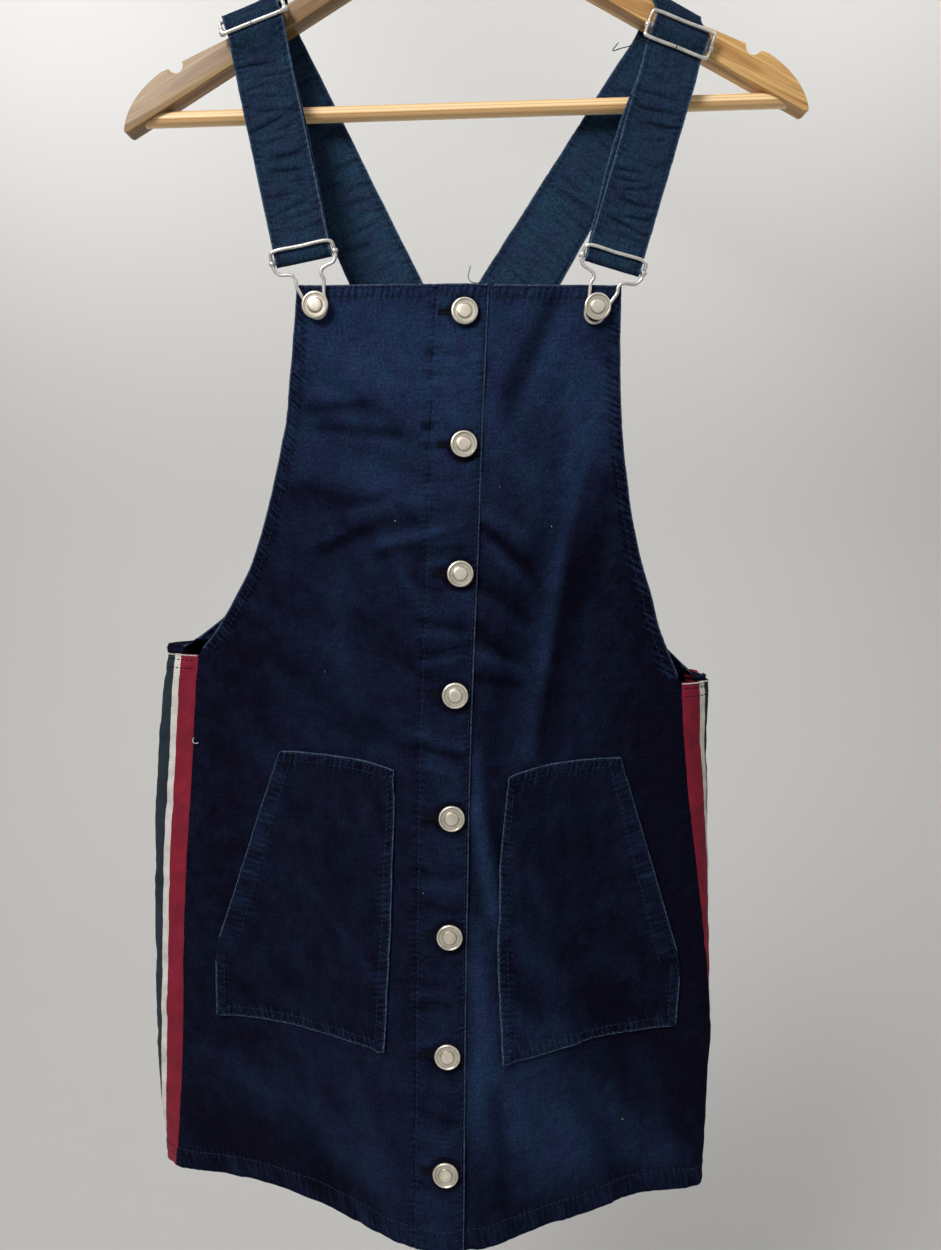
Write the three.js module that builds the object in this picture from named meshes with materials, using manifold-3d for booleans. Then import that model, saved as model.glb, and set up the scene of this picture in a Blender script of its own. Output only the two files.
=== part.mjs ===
// A button-front pinafore dress in cotton twill, hung on a wooden clothes hanger.
// Millimetres, +Z up. X runs to the right as the dress is faced, and -Y is the front.
// The origin is the inside of the hanger's hook, where a rail carries it.
// "Right" and "left" in the names are the wearer's, so the right pieces lie at -X.

import * as THREE from 'three';
import { mergeVertices } from 'three/addons/utils/BufferGeometryUtils.js';
import Module from 'manifold-3d';

const wasm = await Module();
wasm.setup();

// Driving sizes of the cloth
const CLOTH = 1.2; // wall of the twill panels
const TWILL_STRAP = 1.6; // a strap is two plies
const SEAM_GAP = 0.3;
const LAP_GAP = 0.5; // between the two plies of the fly, and under a pocket
const HEM_Z = -945;
const BIB_TOP_Z = -308;
const BACK_TOP_Z = -318;
const UNDERARM_Z = { right: -552, left: -571 };
const TAPE_WIDTH = 35;
const PLACKET_WIDTH = 32;

// Driving sizes of the metal and the hanger
const WIRE_R = 1.15;
const KNOB_R = 2.05;
const HANGER_TILT = THREE.MathUtils.degToRad(1.7);
const BOARD_THICK = 14;
const BAR_R = 4.75;
const BAR_Z = -196.5;
const BAR_HALF = 206;
const HOOK_WIRE_R = 1.75;
const SOCKET_CLEARANCE = 0.3;

// Horizontal sections of the dress, from the bib's top to the hem.
// keel is the centre front, left and right the ends of the two flanks at -X and +X,
// leftEdge and rightEdge the widest points, back the back panel's depth, flute the height
// of its folds, placket the fly's edge from the keel, wrap how far the front passes the right end.
const SECTIONS = [
  { z: -308, keelX: 0, keelY: -22, leftX: -140, leftY: -16, rightX: 140, rightY: -16, leftEdge: -152, rightEdge: 152, back: 13.5, flute: 0, placket: 21, wrap: 0 },
  { z: -400, keelX: 0, keelY: -29, leftX: -152, leftY: -12, rightX: 146, rightY: -13, leftEdge: -168, rightEdge: 160, back: 15, flute: 0, placket: 17, wrap: 0 },
  { z: -480, keelX: 0, keelY: -35, leftX: -166, leftY: -8, rightX: 150, rightY: -10, leftEdge: -186, rightEdge: 168, back: 17, flute: 1, placket: 14.3, wrap: 0 },
  { z: -560, keelX: -1, keelY: -42, leftX: -180, leftY: -4, rightX: 154, rightY: -8, leftEdge: -206, rightEdge: 175, back: 19, flute: 2, placket: 12, wrap: 0 },
  { z: -640, keelX: -2, keelY: -50, leftX: -188, leftY: -3, rightX: 161, rightY: -9, leftEdge: -216.5, rightEdge: 178, back: 21, flute: 3, placket: 10.5, wrap: 0 },
  { z: -720, keelX: -3, keelY: -58, leftX: -196, leftY: -2, rightX: 172, rightY: -11, leftEdge: -222.5, rightEdge: 181, back: 23, flute: 4.5, placket: 10, wrap: 0 },
  { z: -815, keelX: -4, keelY: -67, leftX: -202, leftY: 0, rightX: 179, rightY: -15, leftEdge: -226, rightEdge: 183, back: 25, flute: 6, placket: 9.8, wrap: 7 },
  { z: -880, keelX: -4, keelY: -74, leftX: -207, leftY: 2, rightX: 179, rightY: -15, leftEdge: -227, rightEdge: 182, back: 26.5, flute: 7, placket: 9.2, wrap: 14 },
  { z: -945, keelX: -4, keelY: -80, leftX: -214, leftY: 4, rightX: 178, rightY: -15, leftEdge: -224, rightEdge: 181, back: 28, flute: 8, placket: 8.5, wrap: 19 },
];
const FLANK_STATIONS = [0.12, 0.25, 0.4, 0.58, 0.78]; // shares of the way from the keel to a side
const KEEL_SPREAD = 0.52; // share of a flank over which the keel falls away
const KEEL_POWER = 1.8;
const BACK_STATIONS = 9;
const BACK_FLUTES = 2.5; // waves across the back
const CORNER_INSET = 12; // how far the back's corners lie inside the widest points

// Armhole edges, x at each height: front and back panels, at -X and at +X.
const FRONT_ARMHOLE = [
  { z: -308, right: -102.5, left: 106 },
  { z: -350, right: -107, left: 106.5 },
  { z: -400, right: -114, left: 109 },
  { z: -450, right: -126.5, left: 116 },
  { z: -485, right: -138, left: 124 },
  { z: -510, right: -151, left: 132 },
  { z: -530, right: -163, left: 137.5 },
  { z: -545, right: -174.5, left: 143.5 },
];
const BACK_ARMHOLE = [
  { z: -318, right: -68, left: 60 },
  { z: -350, right: -71, left: 63 },
  { z: -400, right: -82, left: 71 },
  { z: -455, right: -104, left: 88 },
  { z: -500, right: -138, left: 111 },
  { z: -525, right: -164, left: 128 },
  { z: -543, right: -187, left: 143 },
];

// The largest folds, each a soft trough (depth < 0) or ridge between two points of the panel.
const FRONT_FOLDS = [
  { x0: 72, z0: -452, x1: 34, z1: -606, width: 17, depth: -5 },
  { x0: 44, z0: -470, x1: 22, z1: -560, width: 13, depth: 3 },
  { x0: 66, z0: -850, x1: 92, z1: -940, width: 26, depth: 4 },
  { x0: -118, z0: -392, x1: -52, z1: -424, width: 11, depth: -2.4 },
  { x0: -96, z0: -690, x1: -58, z1: -780, width: 20, depth: 3 },
];
const BACK_FOLDS = [
  { x0: -58, z0: -372, x1: -112, z1: -470, width: 16, depth: 3.5 },
  { x0: 50, z0: -380, x1: 92, z1: -480, width: 16, depth: -3 },
  { x0: -20, z0: -420, x1: -34, z1: -600, width: 22, depth: 3 },
];

// Patch pockets: corners as x and z on the front, the hand opening along the slanted side.
const POCKETS = {
  right: { innerTop: [-41, -622], innerBottom: [-48.5, -815], outerBottom: [-175, -815], corner: [-174, -764], outerTop: [-122, -616] },
  left: { innerTop: [33, -628], innerBottom: [29, -819], outerBottom: [155, -815], corner: [158, -770], outerTop: [112, -620] },
};

// Fly buttons from the top down, each with its distance from the fly's edge.
const FLY_BUTTONS = [
  { z: -325.5, fromEdge: 15 },
  { z: -409, fromEdge: 12 },
  { z: -492, fromEdge: 11.5 },
  { z: -571, fromEdge: 11.5 },
  { z: -651.5, fromEdge: 11.5 },
  { z: -730, fromEdge: 11.5 },
  { z: -810, fromEdge: 12 },
  { z: -889.5, fromEdge: 12.5 },
];
const BIB_BUTTONS = { right: { x: -90, z: -321 }, left: { x: 90, z: -322 } };

// Straps: the buckle's bar, the slide's bar, how the band crosses the hanger and runs down the back.
const STRAP_HALF = 18;
const STRAPS = {
  right: {
    bar: [-97, -21.5, -292],
    slide: [-126, -13.2, -149],
    slideLean: 42,
    slideSlope: 20,
    top: { x: -124, z: -143.5, slope: 27 },
    back: { from: [-117.5, -155], to: [-32, -334.5], halfEnd: 23.5, lean: 26 },
    tailShift: 1,
  },
  left: {
    bar: [99.5, -21.5, -296],
    slide: [139.5, -11.8, -157.5],
    slideLean: 4,
    slideSlope: -20,
    top: { x: 137.5, z: -139, slope: -27 },
    back: { from: [131.5, -156], to: [21.8, -334.5], halfEnd: 25, lean: -32.5 },
    tailShift: -3,
  },
};

const navy = new THREE.MeshStandardMaterial({ color: 0x1b2a4a, roughness: 0.9, metalness: 0 });
const tapeRed = new THREE.MeshStandardMaterial({ color: 0x9c2440, roughness: 0.85, metalness: 0 });
const steel = new THREE.MeshStandardMaterial({ color: 0xb9b3a6, roughness: 0.35, metalness: 1 });
const beech = new THREE.MeshStandardMaterial({ color: 0xc9a06a, roughness: 0.5, metalness: 0 });

const dress = new THREE.Group();

function addMesh(name, geometry, material, parent = dress) {
  const mesh = new THREE.Mesh(geometry, material);
  mesh.name = name;
  parent.add(mesh);
  return mesh;
}

// A smooth curve through one column of a table whose rows run downwards in z.
function columnAt(rows, z, column) {
  const last = rows.length - 1;
  let i = 0;
  while (i < last - 1 && rows[i + 1].z > z) i += 1;
  const slopeAt = (k) => {
    const a = rows[Math.max(k - 1, 0)];
    const b = rows[Math.min(k + 1, last)];
    return (b[column] - a[column]) / (b.z - a.z);
  };
  const a = rows[i];
  const b = rows[i + 1];
  const span = b.z - a.z;
  const t = THREE.MathUtils.clamp((z - a.z) / span, 0, 1);
  const h00 = 2 * t ** 3 - 3 * t ** 2 + 1;
  const h10 = t ** 3 - 2 * t ** 2 + t;
  const h01 = -2 * t ** 3 + 3 * t ** 2;
  const h11 = t ** 3 - t ** 2;
  return h00 * a[column] + h10 * span * slopeAt(i) + h01 * b[column] + h11 * span * slopeAt(i + 1);
}

const section = (z, column) => columnAt(SECTIONS, z, column);

// Height of a set of folds at a point, each a bell across its line that dies away past its ends.
function foldsAt(folds, x, z) {
  let height = 0;
  for (const f of folds) {
    const dx = f.x1 - f.x0;
    const dz = f.z1 - f.z0;
    const length = Math.hypot(dx, dz);
    const along = ((x - f.x0) * dx + (z - f.z0) * dz) / length;
    const across = ((x - f.x0) * dz - (z - f.z0) * dx) / length;
    const past = Math.max(0, -along, along - length);
    height += f.depth * Math.exp(-((across / f.width) ** 2) - (past / (1.6 * f.width)) ** 2);
  }
  return height;
}

// The closed ring of the dress at one height, as a fine polyline from the keel round by +X.
const RING_STEPS = 10;
const rings = new Map();

function ringAt(z) {
  const key = z.toFixed(3);
  if (rings.has(key)) return rings.get(key);
  const v = {};
  for (const column of Object.keys(SECTIONS[0])) v[column] = section(z, column);
  const flank = (share, endX, endY) => {
    const bell = Math.exp(-((share / KEEL_SPREAD) ** KEEL_POWER));
    return [v.keelX + share * (endX - v.keelX), endY + (v.keelY - endY) * bell];
  };
  const controls = [[v.keelX, v.keelY]];
  for (const share of FLANK_STATIONS) controls.push(flank(share, v.rightX, v.rightY));
  const frontRight = controls.length;
  controls.push([v.rightX, v.rightY]);
  controls.push([v.rightEdge, (v.rightY + v.back) / 2]);
  const backFrom = v.rightEdge - CORNER_INSET;
  const backTo = v.leftEdge + CORNER_INSET;
  for (let i = 0; i < BACK_STATIONS; i += 1) {
    const t = i / (BACK_STATIONS - 1);
    const wave = Math.sin(Math.PI * t) * Math.sin(2 * Math.PI * BACK_FLUTES * t + 0.6);
    controls.push([THREE.MathUtils.lerp(backFrom, backTo, t), v.back + v.flute * wave]);
  }
  controls.push([v.leftEdge, (v.leftY + v.back) / 2]);
  const frontLeft = controls.length;
  controls.push([v.leftX, v.leftY]);
  for (const share of [...FLANK_STATIONS].reverse()) controls.push(flank(share, v.leftX, v.leftY));

  const curve = new THREE.CatmullRomCurve3(controls.map(([x, y]) => new THREE.Vector3(x, y, 0)), true, 'centripetal');
  const count = controls.length * RING_STEPS;
  const points = [];
  const lengths = [0];
  for (let i = 0; i <= count; i += 1) {
    points.push(curve.getPoint(i / count));
    if (i > 0) lengths.push(lengths[i - 1] + points[i].distanceTo(points[i - 1]));
  }
  const ring = { points, lengths, total: lengths[count] };
  ring.rightMark = lengths[frontRight * RING_STEPS];
  ring.leftMark = lengths[frontLeft * RING_STEPS] - ring.total;
  rings.set(key, ring);
  return ring;
}

// The cloth's outer face at arc length s from the keel (positive towards +X) and height z.
function bodyPoint(s, z) {
  const ring = ringAt(z);
  const wrapped = ((s % ring.total) + ring.total) % ring.total;
  let low = 0;
  let high = ring.lengths.length - 1;
  while (high - low > 1) {
    const middle = (low + high) >> 1;
    if (ring.lengths[middle] <= wrapped) low = middle;
    else high = middle;
  }
  const t = (wrapped - ring.lengths[low]) / (ring.lengths[high] - ring.lengths[low]);
  const flat = ring.points[low].clone().lerp(ring.points[high], t);
  const signed = wrapped > ring.total / 2 ? wrapped - ring.total : wrapped;
  const front = signed > ring.leftMark && signed < ring.rightMark;
  const back = signed < ring.leftMark - TAPE_WIDTH || signed > ring.rightMark + TAPE_WIDTH;
  let y = flat.y;
  if (front) y -= foldsAt(FRONT_FOLDS, flat.x, z);
  if (back) y += foldsAt(BACK_FOLDS, flat.x, z);
  return new THREE.Vector3(flat.x, y, z);
}

function bodyNormal(s, z) {
  const step = 1.5;
  const across = bodyPoint(s + step, z).sub(bodyPoint(s - step, z));
  const up = bodyPoint(s, Math.min(z + step, BIB_TOP_Z)).sub(bodyPoint(s, Math.max(z - step, HEM_Z)));
  return across.cross(up).normalize();
}

// Arc length at which the front (or the back) has a given x.
function arcAtX(x, z, onBack = false) {
  const ring = ringAt(z);
  let low = onBack ? ring.rightMark + 12 : ring.leftMark;
  let high = onBack ? ring.total + ring.leftMark - 12 : ring.rightMark;
  const rising = !onBack;
  for (let i = 0; i < 40; i += 1) {
    const middle = (low + high) / 2;
    if ((bodyPoint(middle, z).x < x) === rising) low = middle;
    else high = middle;
  }
  return (low + high) / 2;
}

const frontSeam = {
  right: (z) => ringAt(z).leftMark,
  left: (z) => ringAt(z).rightMark + section(z, 'wrap'),
};
const backSeam = {
  right: (z) => frontSeam.right(z) - TAPE_WIDTH,
  left: (z) => frontSeam.left(z) + TAPE_WIDTH,
};
const placketEdge = (z) => section(z, 'placket');

// Outer edge of a front panel as an arc length: the armhole above, the side seam below.
function frontEdge(side, z) {
  const underarm = UNDERARM_Z[side];
  if (z <= underarm) return frontSeam[side](z);
  const rows = [...FRONT_ARMHOLE.filter((row) => row.z > underarm + 4)];
  rows.push({ z: underarm, [side]: bodyPoint(frontSeam[side](underarm), underarm).x });
  return arcAtX(columnAt(rows, z, side), z);
}

function backEdge(side, z) {
  const underarm = UNDERARM_Z[side];
  const ring = ringAt(z);
  const turn = side === 'right' ? ring.total : 0;
  if (z <= underarm) return backSeam[side](z) + turn;
  const rows = [...BACK_ARMHOLE.filter((row) => row.z > underarm + 4)];
  rows.push({ z: underarm, [side]: bodyPoint(backSeam[side](underarm), underarm).x });
  return arcAtX(columnAt(rows, z, side), z, true);
}

// A closed wall from a grid of outer points and normals: two faces and the four edges between.
function wallGeometry(grid, thickness) {
  const rows = grid.length;
  const columns = grid[0].length;
  const positions = [];
  for (const depth of [0, thickness]) {
    for (const row of grid) {
      for (const { point, normal } of row) {
        positions.push(...point.clone().addScaledVector(normal, -depth).toArray());
      }
    }
  }
  const outer = (r, c) => r * columns + c;
  const inner = (r, c) => rows * columns + r * columns + c;
  const index = [];
  const quad = (a, b, c, d) => index.push(a, b, c, a, c, d);
  for (let r = 0; r < rows - 1; r += 1) {
    for (let c = 0; c < columns - 1; c += 1) {
      quad(outer(r, c), outer(r, c + 1), outer(r + 1, c + 1), outer(r + 1, c));
      quad(inner(r, c), inner(r + 1, c), inner(r + 1, c + 1), inner(r, c + 1));
    }
  }
  for (let c = 0; c < columns - 1; c += 1) {
    quad(outer(0, c), inner(0, c), inner(0, c + 1), outer(0, c + 1));
    quad(outer(rows - 1, c), outer(rows - 1, c + 1), inner(rows - 1, c + 1), inner(rows - 1, c));
  }
  for (let r = 0; r < rows - 1; r += 1) {
    quad(outer(r, 0), outer(r + 1, 0), inner(r + 1, 0), inner(r, 0));
    quad(outer(r, columns - 1), inner(r, columns - 1), inner(r + 1, columns - 1), outer(r + 1, columns - 1));
  }
  const geometry = new THREE.BufferGeometry();
  geometry.setAttribute('position', new THREE.Float32BufferAttribute(positions, 3));
  geometry.setIndex(index);
  return geometry;
}

// Heights from the hem up to the underarm and on to the top, closer together round the armhole.
function rowHeights(underarm, top, below, above) {
  const heights = [];
  for (let i = 0; i < below; i += 1) heights.push(THREE.MathUtils.lerp(HEM_Z, underarm, i / below));
  for (let i = 0; i <= above; i += 1) {
    heights.push(THREE.MathUtils.lerp(underarm, top, (i / above) ** 1.25));
  }
  return heights;
}

// Front panels. The wearer's right front laps over the left one at the fly.
function rightFront() {
  const columns = 12;
  const grid = rowHeights(UNDERARM_Z.right, BIB_TOP_Z, 14, 12).map((z) => {
    const from = frontEdge('right', z) + (z <= UNDERARM_Z.right ? SEAM_GAP / 2 : 0);
    const to = placketEdge(z);
    return Array.from({ length: columns + 1 }, (_, c) => {
      const s = THREE.MathUtils.lerp(from, to, 1 - (1 - c / columns) ** 1.15);
      return { point: bodyPoint(s, z), normal: bodyNormal(s, z) };
    });
  });
  addMesh('front_right', wallGeometry(grid, CLOTH), navy);
}

function leftFront() {
  const outerColumns = 9;
  const underShares = [0, 0.5, 1];
  const rampOut = 16; // where the panel has come out level with the fly
  const grid = rowHeights(UNDERARM_Z.left, BIB_TOP_Z, 14, 12).map((z) => {
    const edge = placketEdge(z);
    const to = frontEdge('left', z) - (z <= UNDERARM_Z.left ? SEAM_GAP / 2 : 0);
    const places = underShares.map((share) => edge + 2 - (1 - share) * (PLACKET_WIDTH + 2));
    for (let c = 0; c <= outerColumns; c += 1) {
      places.push(THREE.MathUtils.lerp(edge + rampOut, to, (c / outerColumns) ** 1.1));
    }
    return places.map((s) => {
      const normal = bodyNormal(s, z);
      const sunk = s < edge + rampOut - 1 ? CLOTH + LAP_GAP : 0;
      return { point: bodyPoint(s, z).addScaledVector(normal, -sunk), normal };
    });
  });
  addMesh('front_left', wallGeometry(grid, CLOTH), navy);
}

function backPanel() {
  const columns = 15;
  const heights = rowHeights((UNDERARM_Z.right + UNDERARM_Z.left) / 2, BACK_TOP_Z, 10, 10);
  const underarms = Object.values(UNDERARM_Z);
  const inserted = [...heights, ...underarms].sort((a, b) => a - b);
  const kept = inserted.filter((z) => underarms.includes(z) || underarms.every((u) => Math.abs(u - z) > 9));
  const grid = kept.map((z) => {
    const from = backEdge('left', z) + (z <= UNDERARM_Z.left ? SEAM_GAP / 2 : 0);
    const to = backEdge('right', z) - (z <= UNDERARM_Z.right ? SEAM_GAP / 2 : 0);
    return Array.from({ length: columns + 1 }, (_, c) => {
      const s = THREE.MathUtils.lerp(from, to, c / columns);
      return { point: bodyPoint(s, z), normal: bodyNormal(s, z) };
    });
  });
  addMesh('back', wallGeometry(grid, CLOTH), navy);
}

// Striped side tapes, each one strip between the front's and the back's side seams.
function sideTape(side) {
  const columns = 4;
  const rows = 16;
  const underarm = UNDERARM_Z[side];
  const grid = Array.from({ length: rows + 1 }, (_, r) => {
    const z = THREE.MathUtils.lerp(HEM_Z, underarm, r / rows);
    const ends = [frontSeam[side](z), backSeam[side](z)].sort((a, b) => a - b);
    return Array.from({ length: columns + 1 }, (__, c) => {
      const s = THREE.MathUtils.lerp(ends[0] + SEAM_GAP / 2, ends[1] - SEAM_GAP / 2, c / columns);
      return { point: bodyPoint(s, z), normal: bodyNormal(s, z) };
    });
  });
  addMesh(`side_tape_${side}`, wallGeometry(grid, CLOTH), tapeRed);
}

// A patch pocket, made from the panel's own points and moved out.
function pocket(side) {
  const p = POCKETS[side];
  const rows = 10;
  const columns = 7;
  const cornerShare = (p.corner[1] - p.outerBottom[1]) / (p.outerTop[1] - p.outerBottom[1]);
  const between = (a, b, t) => [THREE.MathUtils.lerp(a[0], b[0], t), THREE.MathUtils.lerp(a[1], b[1], t)];
  const shares = Array.from({ length: rows + 1 }, (_, r) => r / rows).filter((t) => Math.abs(t - cornerShare) > 0.04);
  shares.push(cornerShare);
  shares.sort((a, b) => a - b);
  const grid = shares.map((t) => {
    const inner = between(p.innerBottom, p.innerTop, t);
    const outer = t <= cornerShare
      ? between(p.outerBottom, p.corner, t / cornerShare)
      : between(p.corner, p.outerTop, (t - cornerShare) / (1 - cornerShare));
    const ends = [inner, outer].sort((a, b) => a[0] - b[0]);
    return Array.from({ length: columns + 1 }, (_, c) => {
      const [x, z] = between(ends[0], ends[1], c / columns);
      const s = arcAtX(x, z);
      const normal = bodyNormal(s, z);
      return { point: bodyPoint(s, z).addScaledVector(normal, CLOTH + LAP_GAP + 0.3), normal };
    });
  });
  addMesh(`pocket_${side}`, wallGeometry(grid, CLOTH), navy);
}

// A shank button: a rolled rim round a sunk ring and a raised centre.
function buttonGeometry(cap) {
  const profile = [
    [0, SEAM_GAP],
    [3.6, SEAM_GAP],
    [3.6, cap],
    [7.6, cap],
    [8.6, cap + 1.1],
    [7.7, cap + 2.3],
    [5.8, cap + 1.5],
    [3.6, cap + 2.2],
    [0, cap + 2.4],
  ];
  return new THREE.LatheGeometry(profile.map(([r, h]) => new THREE.Vector2(r, h)), 14);
}

function addButton(name, s, z, capFrom) {
  const geometry = mergeVertices(stripped(buttonGeometry(capFrom)));
  const mesh = addMesh(name, geometry, steel);
  const normal = bodyNormal(s, z);
  mesh.position.copy(bodyPoint(s, z));
  mesh.quaternion.setFromUnitVectors(new THREE.Vector3(0, 1, 0), normal);
}

function stripped(geometry) {
  geometry.deleteAttribute('normal');
  geometry.deleteAttribute('uv');
  return geometry;
}

function buttons() {
  FLY_BUTTONS.forEach(({ z, fromEdge }, i) => {
    addButton(`button_${i + 1}`, placketEdge(z) - fromEdge, z, 1.5);
  });
  for (const side of ['right', 'left']) {
    const { x, z } = BIB_BUTTONS[side];
    addButton(`bib_button_${side}`, arcAtX(x, z), z, 4.2);
  }
}

// Turns a closed geometry into a solid for joining and cutting, and back.
function toSolid(geometry) {
  const merged = mergeVertices(stripped(geometry), 1e-4);
  return new wasm.Manifold(new wasm.Mesh({
    numProp: 3,
    vertProperties: new Float32Array(merged.attributes.position.array),
    triVerts: new Uint32Array(merged.index.array),
  }));
}

function toGeometry(solid) {
  const mesh = solid.getMesh();
  const geometry = new THREE.BufferGeometry();
  geometry.setAttribute('position', new THREE.BufferAttribute(new Float32Array(mesh.vertProperties), 3));
  geometry.setIndex(new THREE.BufferAttribute(new Uint32Array(mesh.triVerts), 1));
  return geometry;
}

function rodBetween(from, to, radius, sides) {
  const rod = new THREE.CylinderGeometry(radius, radius, from.distanceTo(to), sides);
  const turn = new THREE.Quaternion().setFromUnitVectors(
    new THREE.Vector3(0, 1, 0),
    to.clone().sub(from).normalize(),
  );
  rod.applyQuaternion(turn);
  rod.translate(...from.clone().add(to).multiplyScalar(0.5).toArray());
  return rod;
}

// A closed wire with a bar across it and a knob at each end of the bar.
function wireWithBar(loop, barEnds, segments) {
  const curve = new THREE.CatmullRomCurve3(loop, true, 'centripetal');
  let solid = toSolid(new THREE.TubeGeometry(curve, segments, WIRE_R, 6, true));
  solid = solid.add(toSolid(rodBetween(barEnds[0], barEnds[1], WIRE_R, 8)));
  for (const end of barEnds) {
    const knob = new THREE.SphereGeometry(KNOB_R, 8, 6);
    knob.translate(...end.toArray());
    solid = solid.add(toSolid(knob));
  }
  return toGeometry(solid);
}

// The local frame of a strap's front run: u up along it, w across it and n out to the front.
function strapFrame(strap) {
  const bar = new THREE.Vector3(...strap.bar);
  const slide = new THREE.Vector3(...strap.slide);
  const u = slide.clone().sub(bar).normalize();
  const w = new THREE.Vector3(u.z, 0, -u.x).normalize();
  const n = new THREE.Vector3().crossVectors(w, u).normalize();
  return { bar, slide, u, w, n, length: bar.distanceTo(slide) };
}

const place = (origin, frame, across, up, out) => origin.clone()
  .addScaledVector(frame.w, across)
  .addScaledVector(frame.u, up)
  .addScaledVector(frame.n, out);

// The slide's own frame: it follows the board's slope and leans back with the band.
function slideFrame(strap) {
  const slope = THREE.MathUtils.degToRad(strap.slideSlope);
  const lean = THREE.MathUtils.degToRad(strap.slideLean);
  const w = new THREE.Vector3(Math.cos(slope), 0, Math.sin(slope));
  const u = new THREE.Vector3(-Math.sin(slope), Math.tan(lean), Math.cos(slope)).normalize();
  const n = new THREE.Vector3().crossVectors(w, u).normalize();
  return { slide: new THREE.Vector3(...strap.slide), u, w, n };
}

const SLIDE_HALF_WIDTH = 20.8;
const SLIDE_HALF_HEIGHT = 8;
const SLIDE_FRONT = 2.6; // how far the slide's two outer wires stand in front of its bar

function slide(side) {
  const frame = slideFrame(STRAPS[side]);
  const w = SLIDE_HALF_WIDTH;
  const h = SLIDE_HALF_HEIGHT;
  const corner = 2.2;
  const outline = [
    [w - corner, h, 1], [w - 0.4, h - 0.6, 1], [w, h - corner, 0.75], [w, 0, 0],
    [w, -h + corner, 0.75], [w - 0.4, -h + 0.6, 1], [w - corner, -h, 1], [0, -h, 1],
    [-w + corner, -h, 1], [-w + 0.4, -h + 0.6, 1], [-w, -h + corner, 0.75], [-w, 0, 0],
    [-w, h - corner, 0.75], [-w + 0.4, h - 0.6, 1], [-w + corner, h, 1], [0, h, 1],
  ];
  const loop = outline.map(([across, up, out]) => place(frame.slide, frame, across, up, out * SLIDE_FRONT));
  const ends = [-w, w].map((across) => place(frame.slide, frame, across, 0, 0));
  addMesh(`slide_${side}`, wireWithBar(loop, ends, 40), steel);
}

// The buckle: a bail over the strap's fold and a long loop that catches the bib's button.
const BUCKLE_HALF = 20.3;
const BUCKLE_LOOP = [
  // across, up, and how far towards the button's depth
  [BUCKLE_HALF, 0, 0], [20, -3.6, 0.1], [17.4, -6.8, 0.2], [13, -7.8, 0.25], [9.6, -9.2, 0.3],
  [8.4, -11.8, 0.38], [9, -15.5, 0.5], [8, -19.5, 0.65], [6.8, -24.5, 0.8], [6.5, -32, 1],
  [4.8, -38, 1], [0, -40.6, 1],
];
const BAIL = [[BUCKLE_HALF, 2.4, 0.4], [19.6, 4.8, 0.85], [17, 5.9, 1], [0, 5.9, 1]];
const BAIL_FRONT = 4.4;

function buckle(side) {
  const frame = strapFrame(STRAPS[side]);
  const { x, z } = BIB_BUTTONS[side];
  const s = arcAtX(x, z);
  const seat = bodyPoint(s, z).addScaledVector(bodyNormal(s, z), SEAM_GAP + WIRE_R + 0.9);
  // the loop hangs from the bar towards the button, so it has a frame of its own
  const down = frame.bar.clone().sub(seat).normalize();
  const across = new THREE.Vector3(down.z, 0, -down.x).normalize();
  const out = new THREE.Vector3().crossVectors(across, down).normalize();
  const loopFrame = { u: down, w: across, n: out };
  const half = BUCKLE_LOOP.map(([a, up]) => [a, up]);
  const loopPoint = ([a, up]) => place(frame.bar, loopFrame, a, up, 0);
  const bailPoint = ([a, up, share]) => place(frame.bar, frame, a, up, share * BAIL_FRONT);
  const mirror = ([a, ...rest]) => [-a, ...rest];
  const loop = [
    ...half.map(loopPoint),
    ...half.slice(0, -1).reverse().map(mirror).map(loopPoint),
    ...BAIL.map(mirror).map(bailPoint),
    ...BAIL.slice(0, -1).reverse().map(bailPoint),
  ];
  const ends = [-BUCKLE_HALF, BUCKLE_HALF].map((a) => place(frame.bar, frame, a, 0, 0));
  addMesh(`buckle_${side}`, wireWithBar(loop, ends, 72), steel);
}

// A band of cloth swept through stations, each a centre and half a width across.
function bandGeometry(stations, thickness) {
  const positions = [];
  const count = stations.length;
  stations.forEach(({ centre, half }, i) => {
    const before = stations[Math.max(i - 1, 0)].centre;
    const after = stations[Math.min(i + 1, count - 1)].centre;
    const tangent = after.clone().sub(before).normalize();
    const normal = new THREE.Vector3().crossVectors(half, tangent).normalize();
    for (const [a, b] of [[-1, -1], [1, -1], [1, 1], [-1, 1]]) {
      positions.push(...centre.clone().addScaledVector(half, a).addScaledVector(normal, (b * thickness) / 2).toArray());
    }
  });
  const index = [];
  const quad = (a, b, c, d) => index.push(a, b, c, a, c, d);
  for (let i = 0; i < count - 1; i += 1) {
    for (let k = 0; k < 4; k += 1) {
      const next = (k + 1) % 4;
      quad(4 * i + k, 4 * (i + 1) + k, 4 * (i + 1) + next, 4 * i + next);
    }
  }
  quad(0, 1, 2, 3);
  const end = 4 * (count - 1);
  quad(end, end + 3, end + 2, end + 1);
  const geometry = new THREE.BufferGeometry();
  geometry.setAttribute('position', new THREE.Float32BufferAttribute(positions, 3));
  geometry.setIndex(index);
  return geometry;
}

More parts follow.
